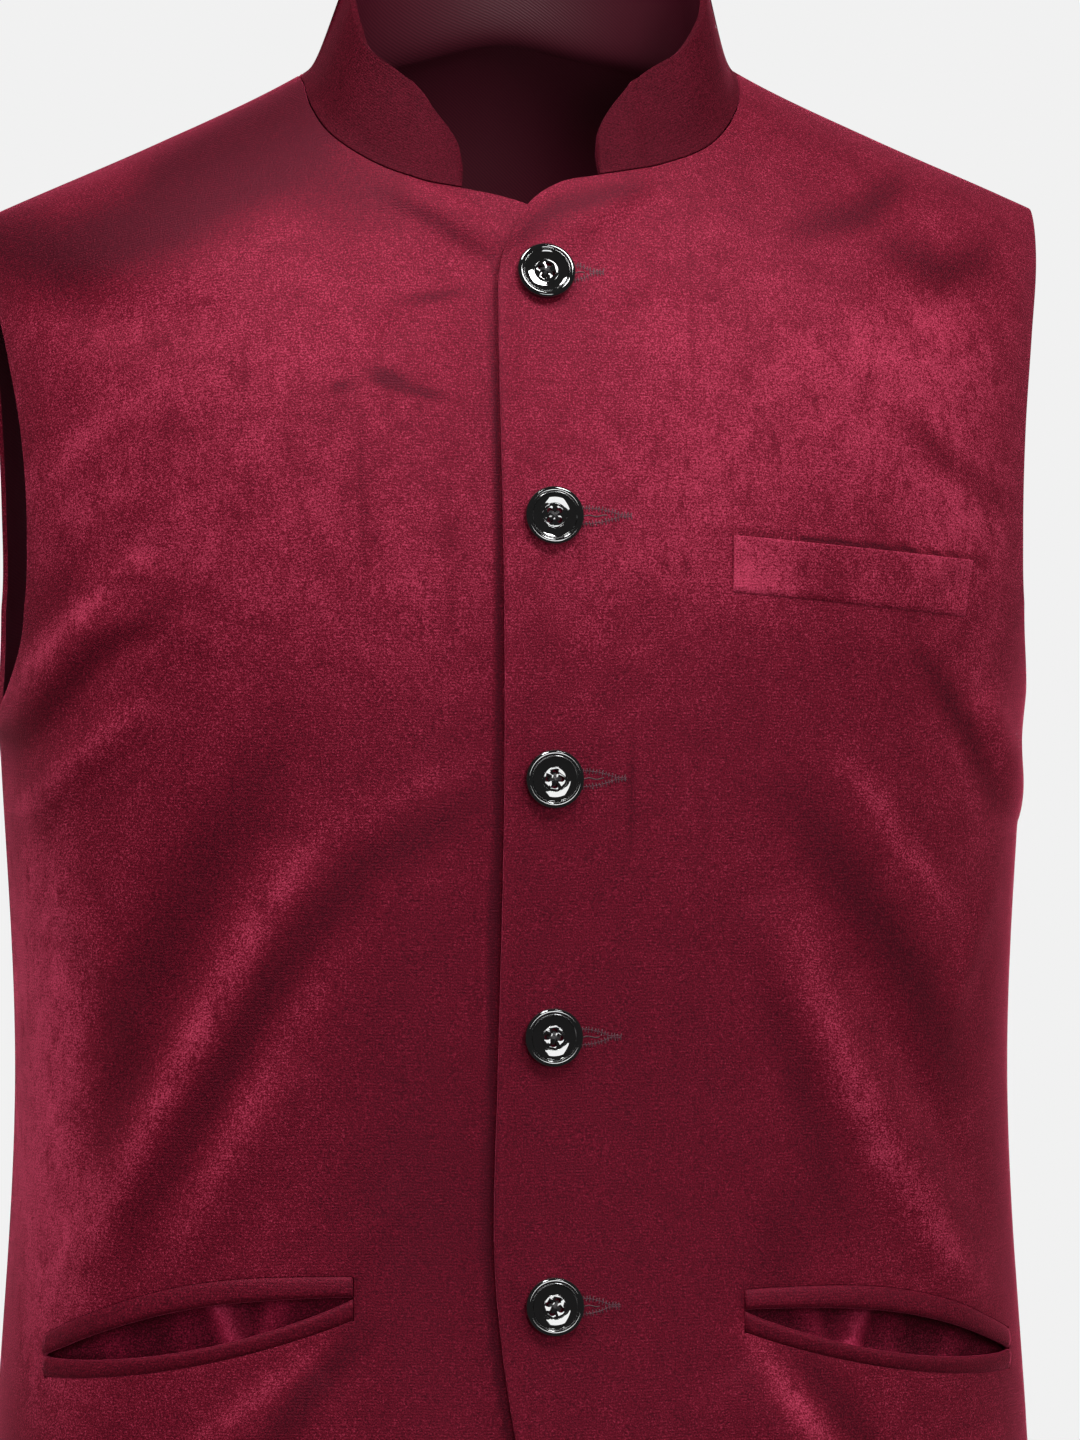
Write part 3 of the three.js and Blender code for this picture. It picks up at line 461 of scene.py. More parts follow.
# silk-faced cotton velvet, cut pile: dark where it is seen straight on, bright where its pile lies over
def makeVelvet(name, look):
    material = newMaterial(name)
    tree = material.node_tree
    place = addNode(tree, "ShaderNodeTexCoord", {}).outputs["Object"]
    cloth = addNode(tree, "ShaderNodeUVMap", {}, uv_map="cloth").outputs["UV"]
    # the pile's lie together with the painted light and shade laid on each piece
    napAndShading = addNode(tree, "ShaderNodeAttribute", {}, attribute_name="napAndShading").outputs["Fac"]
    grain = addNode(tree, "ShaderNodeTexNoise", {
        "Vector": place, "Scale": 1 / (look["grain"] * mm), "Detail": 2, "Roughness": 0.6,
    }).outputs["Fac"]
    smudge = addNode(tree, "ShaderNodeTexNoise", {
        "Vector": place, "Scale": 1 / (look["smudge"] * mm), "Detail": 5, "Roughness": 0.62,
        "Distortion": 0.4,
    }).outputs["Fac"]
    tall = addNode(tree, "ShaderNodeMapping", {"Vector": place, "Scale": (1, 1, 0.45)}).outputs["Vector"]
    blotch = addNode(tree, "ShaderNodeTexNoise", {
        "Vector": tall, "Scale": 1 / (look["blotch"] * mm), "Detail": 4, "Roughness": 0.7,
    }).outputs["Fac"]
    # only where the pile stands up, or painted light brightens it, can it show crushed spots
    raised = addNode(tree, "ShaderNodeMapRange", {
        "Value": napAndShading, "From Min": 0.05, "From Max": 0.5, "To Min": 0, "To Max": 0.42,
    }).outputs["Result"]
    crushed = addNode(tree, "ShaderNodeMapRange", {
        "Value": blotch, "From Min": 0.5, "From Max": 0.72, "To Min": 0, "To Max": raised,
    }, interpolation_type="SMOOTHSTEP").outputs["Result"]
    rows = addNode(tree, "ShaderNodeTexWave", {
        "Vector": cloth, "Scale": math.tau / 20 / (look["rows"] * mm), "Distortion": 2.5, "Detail": 2,
        "Detail Scale": 0.5,
    }, wave_type="BANDS", bands_direction="Y").outputs["Fac"]

    uneven = addNode(
        tree, "ShaderNodeMath", {0: smudge, 1: 0.8, 2: 0.35}, operation="MULTIPLY_ADD"
    ).outputs[0]
    napShadingUneven = addNode(tree, "ShaderNodeMath", {0: napAndShading, 1: uneven}, operation="MULTIPLY").outputs[0]
    # how light the pile looks: a start, and what each pattern adds to it, painted light and shade among them
    level = look["start"]
    for value, factor in ((napShadingUneven, 0.5), (smudge, 0.3), (grain, 1.7), (rows, 0.04), (crushed, -0.45)):
        level = addNode(
            tree, "ShaderNodeMath", {0: value, 1: factor, 2: level}, operation="MULTIPLY_ADD"
        ).outputs[0]
    ramp = addNode(tree, "ShaderNodeValToRGB", {"Fac": level})
    stops = ramp.color_ramp
    stops.elements[0].position, stops.elements[0].color = 0.0, paint(look["dark"])
    stops.elements[1].position, stops.elements[1].color = 1.0, paint(look["light"])
    stops.elements.new(0.45).color = paint(look["mid"])
    tufts = addNode(
        tree, "ShaderNodeMath", {0: rows, 1: 0.12, 2: grain}, operation="MULTIPLY_ADD"
    ).outputs[0]
    rough = addNode(
        tree, "ShaderNodeMath", {0: crushed, 1: 0.2, 2: 0.5}, operation="MULTIPLY_ADD"
    ).outputs[0]
    bump = addNode(tree, "ShaderNodeBump", {
        "Height": tufts, "Strength": 0.6, "Distance": 0.5 * mm,
    }).outputs[0]
    shader = addNode(tree, "ShaderNodeBsdfPrincipled", {
        "Base Color": ramp.outputs["Color"], "Roughness": rough,
        "Specular IOR Level": look["specular"], "IOR": 1.5, "Specular Tint": paint(look["gleam"]),
        "Sheen Weight": look["sheenWeight"], "Sheen Roughness": 0.35, "Sheen Tint": paint(look["sheen"]),
        "Normal": bump,
    })
    addNode(tree, "ShaderNodeOutputMaterial", {"Surface": shader.outputs["BSDF"]})
    return material


# plain polyester lining, woven in twill: dark, with a satiny shine
twillRun = 0.8  # mm between its diagonal lines


def makeLining():
    material = newMaterial("liningTwill")
    tree = material.node_tree
    cloth = addNode(tree, "ShaderNodeUVMap", {}, uv_map="cloth").outputs["UV"]
    twill = addNode(tree, "ShaderNodeTexWave", {
        "Vector": cloth, "Scale": math.tau / 20 / (twillRun * mm), "Distortion": 0.3, "Detail": 1,
    }, wave_type="BANDS", bands_direction="DIAGONAL").outputs["Fac"]
    ramp = addNode(tree, "ShaderNodeValToRGB", {"Fac": twill})
    ramp.color_ramp.elements[0].color = paint("#3a0b18")
    ramp.color_ramp.elements[1].color = paint("#48101f")
    bump = addNode(tree, "ShaderNodeBump", {
        "Height": twill, "Strength": 0.2, "Distance": 0.2 * mm,
    }).outputs[0]
    shader = addNode(tree, "ShaderNodeBsdfPrincipled", {
        "Base Color": ramp.outputs["Color"], "Roughness": 0.45, "Specular IOR Level": 0.4, "Normal": bump,
    })
    addNode(tree, "ShaderNodeOutputMaterial", {"Surface": shader.outputs["BSDF"]})
    return material


# cast polyester button, polished: black, hard and wet-looking, with the faintest haze
def makeButtonGloss():
    material = newMaterial("polishedPolyester")
    tree = material.node_tree
    place = addNode(tree, "ShaderNodeTexCoord", {}).outputs["Object"]
    haze = addNode(tree, "ShaderNodeTexNoise", {
        "Vector": place, "Scale": 1 / (3 * mm), "Detail": 4, "Roughness": 0.6,
    }).outputs["Fac"]
    ramp = addNode(tree, "ShaderNodeValToRGB", {"Fac": haze})
    ramp.color_ramp.elements[0].color = paint("#030303")
    ramp.color_ramp.elements[1].color = paint("#090708")
    rough = addNode(tree, "ShaderNodeMapRange", {
        "Value": haze, "From Min": 0.35, "From Max": 0.7, "To Min": 0.02, "To Max": 0.06,
    }).outputs["Result"]
    shader = addNode(tree, "ShaderNodeBsdfPrincipled", {
        "Base Color": ramp.outputs["Color"], "Roughness": rough, "IOR": 1.54,
        "Coat Weight": 1.0, "Coat Roughness": 0.02, "Coat IOR": 1.5,
    })
    addNode(tree, "ShaderNodeOutputMaterial", {"Surface": shader.outputs["BSDF"]})
    return material


# twisted polyester sewing thread, satiny, its plies too fine to show but as a change of shade
def makeThread(name, dark, light):
    material = newMaterial(name)
    tree = material.node_tree
    place = addNode(tree, "ShaderNodeTexCoord", {}).outputs["Object"]
    plies = addNode(tree, "ShaderNodeTexNoise", {
        "Vector": place, "Scale": 1 / (0.5 * mm), "Detail": 2,
    }).outputs["Fac"]
    ramp = addNode(tree, "ShaderNodeValToRGB", {"Fac": plies})
    ramp.color_ramp.elements[0].position, ramp.color_ramp.elements[1].position = 0.35, 0.65
    ramp.color_ramp.elements[0].color = paint(dark)
    ramp.color_ramp.elements[1].color = paint(light)
    shader = addNode(tree, "ShaderNodeBsdfPrincipled", {
        "Base Color": ramp.outputs["Color"], "Roughness": 0.5, "Sheen Weight": 0.3, "Sheen Roughness": 0.4,
    })
    addNode(tree, "ShaderNodeOutputMaterial", {"Surface": shader.outputs["BSDF"]})
    return material


velvet = makeVelvet("silkVelvet", velvetLook)
# the same velvet drawn darker on the collar: painted shade, where its pile turns from the light
shadedCollarVelvet = makeVelvet("silkVelvetCollarShaded", {
    **velvetLook, "dark": "#180205", "mid": "#3a0812", "light": "#5c1424", "sheenWeight": 0.25,
    "specular": 0.16,
})
# the same velvet drawn lighter inside the pockets: painted light on the pouches
litFacingVelvet = makeVelvet("silkVelvetFacing", {**velvetLook, "mid": "#6e1129", "light": "#b03656"})
lining = makeLining()
buttonGloss = makeButtonGloss()
buttonThread = makeThread("blackThread", "#0a090a", "#1d1a1c")
holeThread = makeThread("mauveThread", "#2a0712", "#521a2e")
# painted shade for the buttonholes' slits, drawn with a thread's finish
paintedSlitShade = makeThread("slitShade", "#1e040b", "#2c0912")
print("finishes made")

# nap and painted shading: patches made light (1) or dark (-1), partly the pile's brushed lie and partly
# painted light and shade (the upper chest lit from above, painted shade under the collar and by the
# armholes), each at x, z with its half sizes, turn and strength, and streaks along the folds, partly the
# pile's turn and partly painted highlights and painted shade, each with its path, its spread and its strength

napAndShadingPatches = {
    "front": [
        (-65, -131, 7, 3.5, -20, -1.9), (-52, -136, 9, 1.8, -12, -1.5), (-84, -134, 5, 2.5, 20, -1.2),
        (-170, -211, 6, 3, 10, -0.6), (-46, -97, 13, 2, 10, -1.1), (-60, -150, 4, 2, 0, -0.5),
        (-120, -120, 80, 44, 10, 0.42), (66, -120, 50, 60, 10, 0.35), (140, -118, 44, 30, 0, 0.5),
        (-100, -205, 100, 46, -12, 0.42), (60, -190, 80, 48, 0, 0.4), (176, -130, 30, 60, 0, 0.35),
        (110, -250, 60, 30, 0, -0.1), (-60, -400, 30, 90, 0, -0.25), (34, -440, 70, 130, 0, -0.35),
        (-60, -76, 30, 18, -30, 0.2), (-10, -330, 14, 150, 0, -0.1), (-55, -480, 40, 60, 0, -0.35),
        (98, -472, 16, 30, -20, -0.35), (172, -186, 26, 20, 0, 0.5), (140, -155, 44, 30, 0, 0.2),
        (-90, -46, 44, 20, -25, -0.8), (-176, -186, 26, 18, 0, 0.3),
        (-190, -385, 22, 80, 0, 0.2), (184, -262, 20, 50, 0, 0.35),
    ],
    "back": [
        (-90, -120, 60, 26, 14, 0.4), (80, -130, 56, 30, -10, 0.4), (0, -300, 40, 110, 0, -0.3),
        (-120, -230, 30, 12, 30, -0.5), (60, -210, 14, 4, 20, -0.6), (-40, -90, 10, 4, 0, -0.6),
    ],
}
napAndShadingStreaks = {
    "front": [
        ([(-84, -296), (-94, -314), (-116, -345), (-136, -383), (-162, -431), (-190, -490)], 9, 0.68),
        ([(-100, -262), (-136, -322), (-162, -374), (-184, -450)], 19, -0.6),
        ([(-14, -292), (-78, -326), (-107, -368), (-136, -420), (-168, -480)], 13, -0.6),
        ([(-16, -280), (-70, -300), (-98, -326)], 9, 0.25),
        ([(-78, -345), (-107, -391), (-130, -437), (-154, -488)], 10, 0.45),
        ([(-226, -272), (-194, -231), (-156, -196)], 6, 0.65),
        ([(-212, -232), (-177, -190), (-130, -164)], 8, -0.25),
        ([(-222, -290), (-182, -242), (-136, -210)], 8, -0.55),
        ([(-222, -318), (-188, -282), (-156, -256)], 6, 0.5),
        ([(-214, -182), (-182, -150), (-142, -126)], 7, 0.35),
        ([(-206, -290), (-202, -420), (-198, -560)], 22, 1.1),
        # painted shade over the shoulder, up to the collar
        ([(-250, -60), (-190, -78), (-150, -64), (-118, -42), (-60, 8)], 22, -1.3),
        ([(-166, -46), (-122, -36), (-76, 4)], 18, -1.1),
        ([(-86, -514), (-112, -532), (-146, -560)], 6, 0.5),
        ([(-72, -506), (-98, -536), (-126, -572)], 9, -0.7),
        # painted shadow along the welt's top edge, where the cloth goes in behind it
        ([(60, -190), (73, -191.6), (125, -196.3), (178, -201), (192, -202)], 1.7, -1.5),
        ([(100, -68), (136, -59), (160, -40)], 9, -0.8),
        ([(138, -72), (171, -82), (200, -72)], 12, -0.8),
        ([(144, -142), (168, -162), (200, -182)], 8, -0.6),
        ([(150, -234), (177, -271), (196, -308)], 8, -0.8),
        ([(116, -278), (148, -317), (180, -354)], 7, 0.5),
        ([(86, -284), (125, -334), (154, -374), (178, -430)], 16, -0.75),
        ([(96, -344), (119, -403), (139, -443), (162, -477), (190, -510)], 11, 0.75),
        ([(86, -370), (107, -431), (126, -484)], 10, -0.35),
        ([(74, -506), (96, -538), (120, -572)], 8, 0.8),
        ([(98, -518), (125, -552), (140, -580)], 10, -0.5),
        ([(-20, -78), (-8, -70), (8, -59), (34, -52), (48, -50)], 6, -1.0),
        ([(-72, -50), (-40, -68), (-14, -86)], 4, -0.7),
        ([(-58, -46), (-30, -60), (-10, -74)], 3.5, 0.5),
        ([(32, -270), (32, -326)], 1.5, -0.7),
        ([(61, -50), (58, -172)], 2, -0.3),
        ([(-78, -130), (-75, -222)], 2.5, -0.35),
        ([(-38, -150), (-44, -196), (-40, -240)], 2, -0.3),
        # painted shadow in the corner along the lap, beside the over front's edge
        ([(-20, -70), (-22, -110), (-22.5, -300), (-24.5, -400), (-26.5, -480), (-23.5, -520), (-16.5, -566),
          (-7, -612), (2, -660)], 2.2, -1.9),
    ],
    "back": [
        ([(-206, -232), (-150, -300), (-100, -386)], 16, 0.35),
        ([(206, -244), (160, -306), (112, -376)], 16, 0.35),
        ([(-140, -376), (-30, -368), (90, -380)], 16, 0.25),
        ([(-84, -430), (-108, -570), (-122, -760)], 22, 0.25),
        ([(0, -460), (10, -600), (6, -760)], 26, 0.2),
        ([(88, -416), (116, -560), (136, -760)], 22, 0.25),
        ([(-200, -112), (-150, -146), (-80, -160)], 18, -0.35),
        ([(200, -112), (154, -142), (88, -152)], 18, -0.35),
    ],
}


def napAndShadingAt(key, x, z):
    value = foldHeight(napAndShadingStreaks[key], x, z)
    for atX, atZ, wide, high, turn, strength in napAndShadingPatches[key]:
        c, s = math.cos(math.radians(turn)), math.sin(math.radians(turn))
        u, v = (x - atX) * c + (z - atZ) * s, (z - atZ) * c - (x - atX) * s
        value += strength * np.exp(-((u / wide) ** 2) - (v / high) ** 2)
    return np.clip(value, -1, 1)


def climbOf(points):
    steps = np.linalg.norm(np.diff(points, axis=0), axis=-1)
    return points[0, :, 2] + np.concatenate([np.zeros((1, points.shape[1])), np.cumsum(steps, 0)])


def finishPanel(piece, used, outer, key):
    x, z = outer[..., 0].reshape(-1), outer[..., 2].reshape(-1)
    layCloth(piece, used, napAndShadingAt(key, x, z), np.stack([x, climbOf(outer).reshape(-1)], -1))
    roundEdges(piece, fronts["edgeRound"])


# fronts

fronts = {
    "columns": (58, 54),  # steps along the neckline and the shoulder
    "rows": (200, 110),  # steps up the side seam and round the armhole
    "lapDrop": 3.4,
    "lapRun": (5, 46),  # the drop is whole as far as this past the over front's edge, and gone there
    "edgeLift": 1.8,
    "edgeReach": 8,
    "overEdge": [
        (-12, -69), (-18, -82), (-20, -110), (-20, -300), (-22, -400), (-24, -480), (-21, -520),
        (-14, -566), (-5, -612), (3, -650), (16, -683),
    ],
    "underEdge": [
        (-12, -69), (-18, -82), (-20, -110), (-20, -300), (-20, -400), (-19, -480), (-16, -520),
        (-11, -566), (-4, -612), (3, -650), (16, -683),
    ],
    "hem": [(16, -683), (36, -697), (70, -700), (150, -700)],
    "neck": {
        1: [(-12, -69), (-5, -57.5), (8, -49), (25, -46), (50, -42), (72, -33.5), (87, -17)],
        -1: [
            (-12, -69), (0, -59.5), (18, -52.5), (34, -49.5), (48, -47.5), (67, -39.5), (83, -27), (90, -14),
        ],
    },
    # share of the way to the side, height
    "armhole": [
        (1, -267), (0.93, -262), (0.86, -248), (0.812, -224), (0.795, -190), (0.8, -150), (0.83, -112),
        (0.87, -80),
    ],
    "edgeRound": 0.85,
}

backCut = {
    "columns": (30, 46),
    "rows": (130, 76),
    "neckZ": 22,
    "neckSquare": 2.2,
    "neckSteps": 12,
    "armhole": [
        (1, -267), (0.94, -262), (0.88, -246), (0.84, -216), (0.83, -175), (0.838, -130), (0.865, -85),
    ],
}

pocket = {
    # the slit's inner and outer ends, on the left front (1) and on the right one
    "slit": {1: ((78, -505), (200.5, -528.5)), -1: ((80, -498), (200, -525.5))},
    "jet": 8.4,
    "gape": 5.4,
    "bulge": 0.75,  # how soon the mouth opens from its ends, sooner when smaller
    "above": 0.9,  # shares of the gape by which the upper and the lower lip stand off the slit
    "below": 1.3,
    "arch": 5.6,
    "archLean": 1.4,  # over 1, the arch is highest past the middle
    "lipArch": 0.8,  # how much of the arch the upper lip follows
    "steps": 96,
    "jetNap": -0.4,
}


# the solids stand a little apart at their seams, the cloth is sewn together there
def seamRise(isBack):
    return 2 + (body["seamForward"] if isBack else -body["seamForward"])


def shoulderSeam(isBack, steps):
    x = mix(body["neckHalf"], body["shoulderHalf"], shares(steps))
    share = np.interp(x / body["domeHalf"][1], ring["across"], ring["share"])
    return np.stack([share, np.full_like(share, seamRise(isBack))], -1)


def outerSide(isBack, armhole, rows, tip):
    low = mix(body["hem"], body["underarm"], np.arange(rows[0]) / rows[0])
    side = np.stack([np.ones(rows[0]), placeOf(isBack, 0, low)[:, 1]], -1)
    share, z = np.array(armhole, float).T
    x = np.interp(share, ring["share"], ring["across"]) * body["domeHalf"][1]
    places = np.stack([share, placeOf(isBack, x, z)[:, 1]], -1)
    return np.vstack([side, alongCloth(isBack, [*places, tip], rows[1])])


def frontNeckPlaces(hand):
    places = [placeOf(False, x, z) for x, z in fronts["neck"][hand]]
    return alongCloth(False, [*places, shoulderSeam(False, 1)[0]], fronts["columns"][0])


def frontGrid(hand, edge):
    shoulder = shoulderSeam(False, fronts["columns"][1])
    top = np.vstack([frontNeckPlaces(hand)[:-1], shoulder])
    outer = outerSide(False, fronts["armhole"], fronts["rows"], shoulder[-1])
    inner = alongCloth(False, [placeOf(False, x, z) for x, z in reversed(edge)], len(outer) - 1)
    hem = [placeOf(False, x, z) for x, z in fronts["hem"]]
    bottom = alongCloth(False, [*hem, outer[0]], len(top) - 1)
    return fillSides(bottom, top, inner, outer)


def backGrid():
    shoulder = shoulderSeam(True, backCut["columns"][1])
    centre = placeOf(True, 0, backCut["neckZ"])[1]
    turned = shares(backCut["neckSteps"])
    down = (1 - turned ** backCut["neckSquare"]) ** (1 / backCut["neckSquare"])
    neck = np.stack([turned * shoulder[0, 0], mix(shoulder[0, 1], centre, down)], -1)
    top = np.vstack([alongCloth(True, neck, backCut["columns"][0])[:-1], shoulder])
    outer = outerSide(True, backCut["armhole"], backCut["rows"], shoulder[-1])
    up = shares(len(outer) - 1)
    inner = np.stack([np.zeros_like(up), centre * up], -1)
    across = shares(len(top) - 1)
    bottom = np.stack([across * outer[0, 0], np.zeros_like(across)], -1)
    return fillSides(bottom, top, inner, outer)


# x of places on a front, and of the over front's edge at their heights
def edgeBeside(place):
    point = bodyPoint(False, place[..., 0], place[..., 1])
    heights = [z for _, z in fronts["overEdge"]]
    z = np.clip(point[..., 2], min(heights), max(heights))
    return point[..., 0], curveThrough([(z, x) for x, z in fronts["overEdge"]], z)


# how far the under front is held down where the other lies on it
def underLap(place):
    x, edge = edgeBeside(place)
    start, end = fronts["lapRun"]
    return fronts["lapDrop"] * (1 - smooth(start - edge, end - edge, x))


# the over front's edge stands off a little, so that a shadow lies along it
def edgeLift(place):
    x, edge = edgeBeside(place)
    return fronts["edgeLift"] * bell((x - edge) / fronts["edgeReach"])


def pocketLines(hand, share):
    (x0, z0), (x1, z1) = pocket["slit"][hand]
    x, z = mix(x0, x1, share), mix(z0, z1, share)
    bulge = np.clip(np.sin(math.pi * np.clip(share, 0, 1)), 0, 1) ** pocket["bulge"]
    gape, half = pocket["gape"] * bulge, body["seamGap"] / 2
    arch = pocket["arch"] * np.sin(math.pi * np.clip(share, 0, 1) ** pocket["archLean"])
    return {
        "x": x,
        "seamAbove": z + pocket["jet"] + gape + arch,
        "lipAbove": z + half + gape * pocket["above"] + arch * pocket["lipArch"],
        "lipBelow": z - half - gape * pocket["below"],
        "seamBelow": z - pocket["jet"] - gape,
    }


# cuts the mouth in a front's grid of places: squares in it are left out, and the cut's corners are moved
# onto its line
def cutMouth(hand, grid):
    (x0, _), (x1, _) = pocket["slit"][hand]
    point = bodyPoint(False, grid[..., 0], grid[..., 1])
    x, z = point[..., 0].copy(), point[..., 2].copy()
    middleX = (x[:-1, :-1] + x[1:, 1:]) / 2
    middleZ = (z[:-1, :-1] + z[1:, 1:]) / 2
    lines = pocketLines(hand, (middleX - x0) / (x1 - x0))
    isCut = (middleX > x0) & (middleX < x1)
    isCut &= (middleZ > lines["seamBelow"]) & (middleZ < lines["seamAbove"])
    touched = np.zeros(x.shape, int)
    for i in (0, 1):
        for j in (0, 1):
            touched[i:i + isCut.shape[0], j:j + isCut.shape[1]] += isCut
    isEdge = (touched > 0) & (touched < 4)
    lines = pocketLines(hand, (np.clip(x, x0, x1) - x0) / (x1 - x0))
    top, low = lines["seamAbove"], lines["seamBelow"]
    toEnd = np.minimum(np.abs(x - x0), np.abs(x - x1))
    toLine = np.minimum(np.abs(z - top), np.abs(z - low))
    isEnd = isEdge & (toEnd < toLine)
    isLine = isEdge & ~isEnd
    nearTop = np.abs(z - top) < np.abs(z - low)
    z = np.where(isLine, np.where(nearTop, top, low), z)
    x = np.where(isLine, np.clip(x, x0, x1), x)
    x = np.where(isEnd, np.where(np.abs(x - x0) < np.abs(x - x1), x0, x1), x)
    moved = placeOf(False, x, z)
    return np.where((isEnd | isLine)[..., None], moved, grid), ~isCut


pieces = {}

for side, hand, edge in (("left", 1, "overEdge"), ("right", -1, "underEdge")):
    grid, kept = cutMouth(hand, frontGrid(hand, fronts[edge]))
    drop = underLap(grid) if hand < 0 else -edgeLift(grid)
    outer = clothPoint(False, hand, grid, -drop)
    inner = clothPoint(False, hand, grid, -drop - body["wall"])
    piece, used = makeWall(f"velvet_front_{side}", outer, inner, kept)
    finishPanel(piece, used, outer, "front")
    dress(piece, [velvet, lining], [f"front_{side}"])
    pieces[f"front_{side}"] = piece
    print("front made:", side, len(piece.data.polygons))

halfBack = backGrid()
layers = []
for depth in (0, body["wall"]):
    left = clothPoint(True, 1, halfBack, np.full(halfBack.shape[:2], -depth))
    right = clothPoint(True, -1, halfBack, np.full(halfBack.shape[:2], -depth))
    layers.append(np.concatenate([right[:, :0:-1], left], 1))
piece, used = makeWall("velvet_back", *layers)
finishPanel(piece, used, layers[0], "back")
dress(piece, [velvet, lining], ["back"])
pieces["back"] = piece
print("back made:", len(piece.data.polygons))

# collar

collar = {
    "height": 43,
    "ends": {1: 25, -1: 32},  # how far each end is from the centre
    "endHeight": 9,
    "round": 42,
    "crowd": 0.07,  # how closely its columns stand at the ends
    "backDip": 8,
    "dipReach": 45,
    "lean": (0.3, 0.38, 0.22),  # inward run for each unit of height, at the front, side and back
    "leftLean": 0.24,  # the wearer's left side stands more upright
    "leftRun": (-10, 60),  # the x from which that begins, and by which it is whole
    "seat": 0.6,
    "turn": 5,  # the height over which it turns up from the fronts
    "wall": 3,
    "columns": 220,
    "rows": 26,
    "length": 470,
    "edgeRound": 1.1,
}


def neckline(hand):
    front = frontNeckPlaces(hand)
    behind = halfBack[-1, :backCut["columns"][0] + 1][::-1]
    drop = underLap(front) if hand < 0 else np.zeros(len(front))
    points = np.vstack([clothPoint(False, hand, front, -drop), clothPoint(True, hand, behind)])
    normals = np.vstack([bodyNormal(False, *front.T), bodyNormal(True, *behind.T)]) * [hand, 1, 1]
    end = collar["ends"][hand]
    first = np.argmax(points[:, 0] * hand > end)
    low, high = points[first - 1:first + 1, 0] * hand
    share = (end - low) / (high - low)
    return [np.vstack([mix(rows[first - 1], rows[first], share), rows[first:]]) for rows in (points, normals)]


def collarGrid(depth):
    rightPoints, rightNormals = neckline(-1)
    leftPoints, leftNormals = neckline(1)
    points = np.vstack([rightPoints, leftPoints[-2::-1]])
    normals = np.vstack([rightNormals, leftNormals[-2::-1]])
    run = runOf(np.linalg.norm(np.diff(points, axis=0), axis=1))
    turned = shares(collar["columns"])
    along = run[-1] * (turned - collar["crowd"] * np.sin(math.tau * turned))
    point, normal = rowsAt(along, run, points), unit(rowsAt(along, run, normals))
    fromEnd = np.minimum(along, run[-1] - along)
    tangent = unit(np.gradient(point, axis=0))
    onward = unit(np.cross(tangent, normal))
    inward = unit(np.stack([-point[:, 0], -body["ridgeForward"] - point[:, 1], 0 * along], -1))
    onward *= np.where((onward * inward).sum(-1) > 0, 1, -1)[:, None]
    inside = unit(np.stack([tangent[:, 1], -tangent[:, 0], 0 * along], -1))
    inside *= np.where((inside * inward).sum(-1) > 0, 1, -1)[:, None]
    front, side, back = collar["lean"]
    side = mix(side, collar["leftLean"], smooth(*collar["leftRun"], point[:, 0]))
    leaning = mix(np.where(inside[:, 1] > 0, front, back), side, inside[:, 0] ** 2)
    lean = unit(np.array([0, 0, 1.0]) + inside * leaning[:, None])
    share = np.clip(1 - fromEnd / collar["round"], 0, 1)
    height = collar["endHeight"] + (collar["height"] - collar["endHeight"]) * np.sqrt(1 - share**2)
    height -= collar["backDip"] * bell((along - run[-1] / 2) / collar["dipReach"])
    rows = []
    upright = unit(-inside + np.array([0, 0, 1.0]) * side[:, None] * lean[:, 2:])
    for row in shares(collar["rows"]):
        up = (height * row)[:, None]
        bent = 1 - np.exp(-up / collar["turn"])
        turn = collar["turn"] * bent
        raised = point + onward * (collar["seat"] + turn) + lean * (up - turn)
        rows.append(raised - unit(mix(normal, upright, bent)) * depth)
    return np.array(rows)


outer, inner = collarGrid(0), collarGrid(collar["wall"])
piece, used = makeWall("velvet_collar", outer, inner)
across, up = np.meshgrid(shares(collar["columns"]), shares(collar["rows"]))
flat = np.stack([across * collar["length"], up * collar["height"]], -1)
layCloth(piece, used, np.zeros(across.shape), flat)
roundEdges(piece, collar["edgeRound"])
dress(piece, [shadedCollarVelvet, lining], ["collar"])
pieces["collar"] = piece
print("collar made")


# pockets and welt


def onFront(hand, x, z, lift):
    return clothPoint(False, hand, placeOf(False, x, z), lift)


# round a jet: its share of the way from the seam to the lip, and its height over the front
jetSection = [(0, -0.1), (0.3, 0.9), (0.75, 1.2), (0.97, 0.4), (1, -1), (0.85, -2.1), (0, -2.2)]
facing = {
    "wall": 1.2,
    "steps": (36, 90),  # up it and along it
    "behind": 0.9,
    "above": 6,
    "below": 14,
    "past": 0.035,  # share of the mouth's length by which it goes past each end
    "pouch": 11,
    "pouchRound": 0.7,
    "bend": 0.9,  # the creases curve by this much on their way up
    # painted shade inside the pocket, with painted highlights on the creases' ridges
    "pouchShade": -0.8,
    "ridgeHighlight": 3.3,  # mm of a crease's height that bring its painted highlight up by one
    # each crease at a share of the mouth's length, with its lean, its half width and its height
    "creases": [
        (0.43, 0.14, 0.045, 5), (0.29, -0.1, 0.05, 3), (0.57, 0.05, 0.05, 1.5), (0.79, 0.14, 0.05, 1.5),
    ],
}


# a closed section rounded by points between its own
def roundedSection(rows, between=3):
    p = np.array(rows, float)
    before, after, beyond = np.roll(p, 1, 0), np.roll(p, -1, 0), np.roll(p, -2, 0)
    out = []
    for k in range(len(p)):
        for t in np.arange(between) / between:
            a, b = (after[k] - before[k]) / 2, (beyond[k] - p[k]) / 2
            out.append(p[k] + a * t + (3 * (after[k] - p[k]) - 2 * a - b) * t**2
                       + (2 * (p[k] - after[k]) + a + b) * t**3)
    return np.array(out)


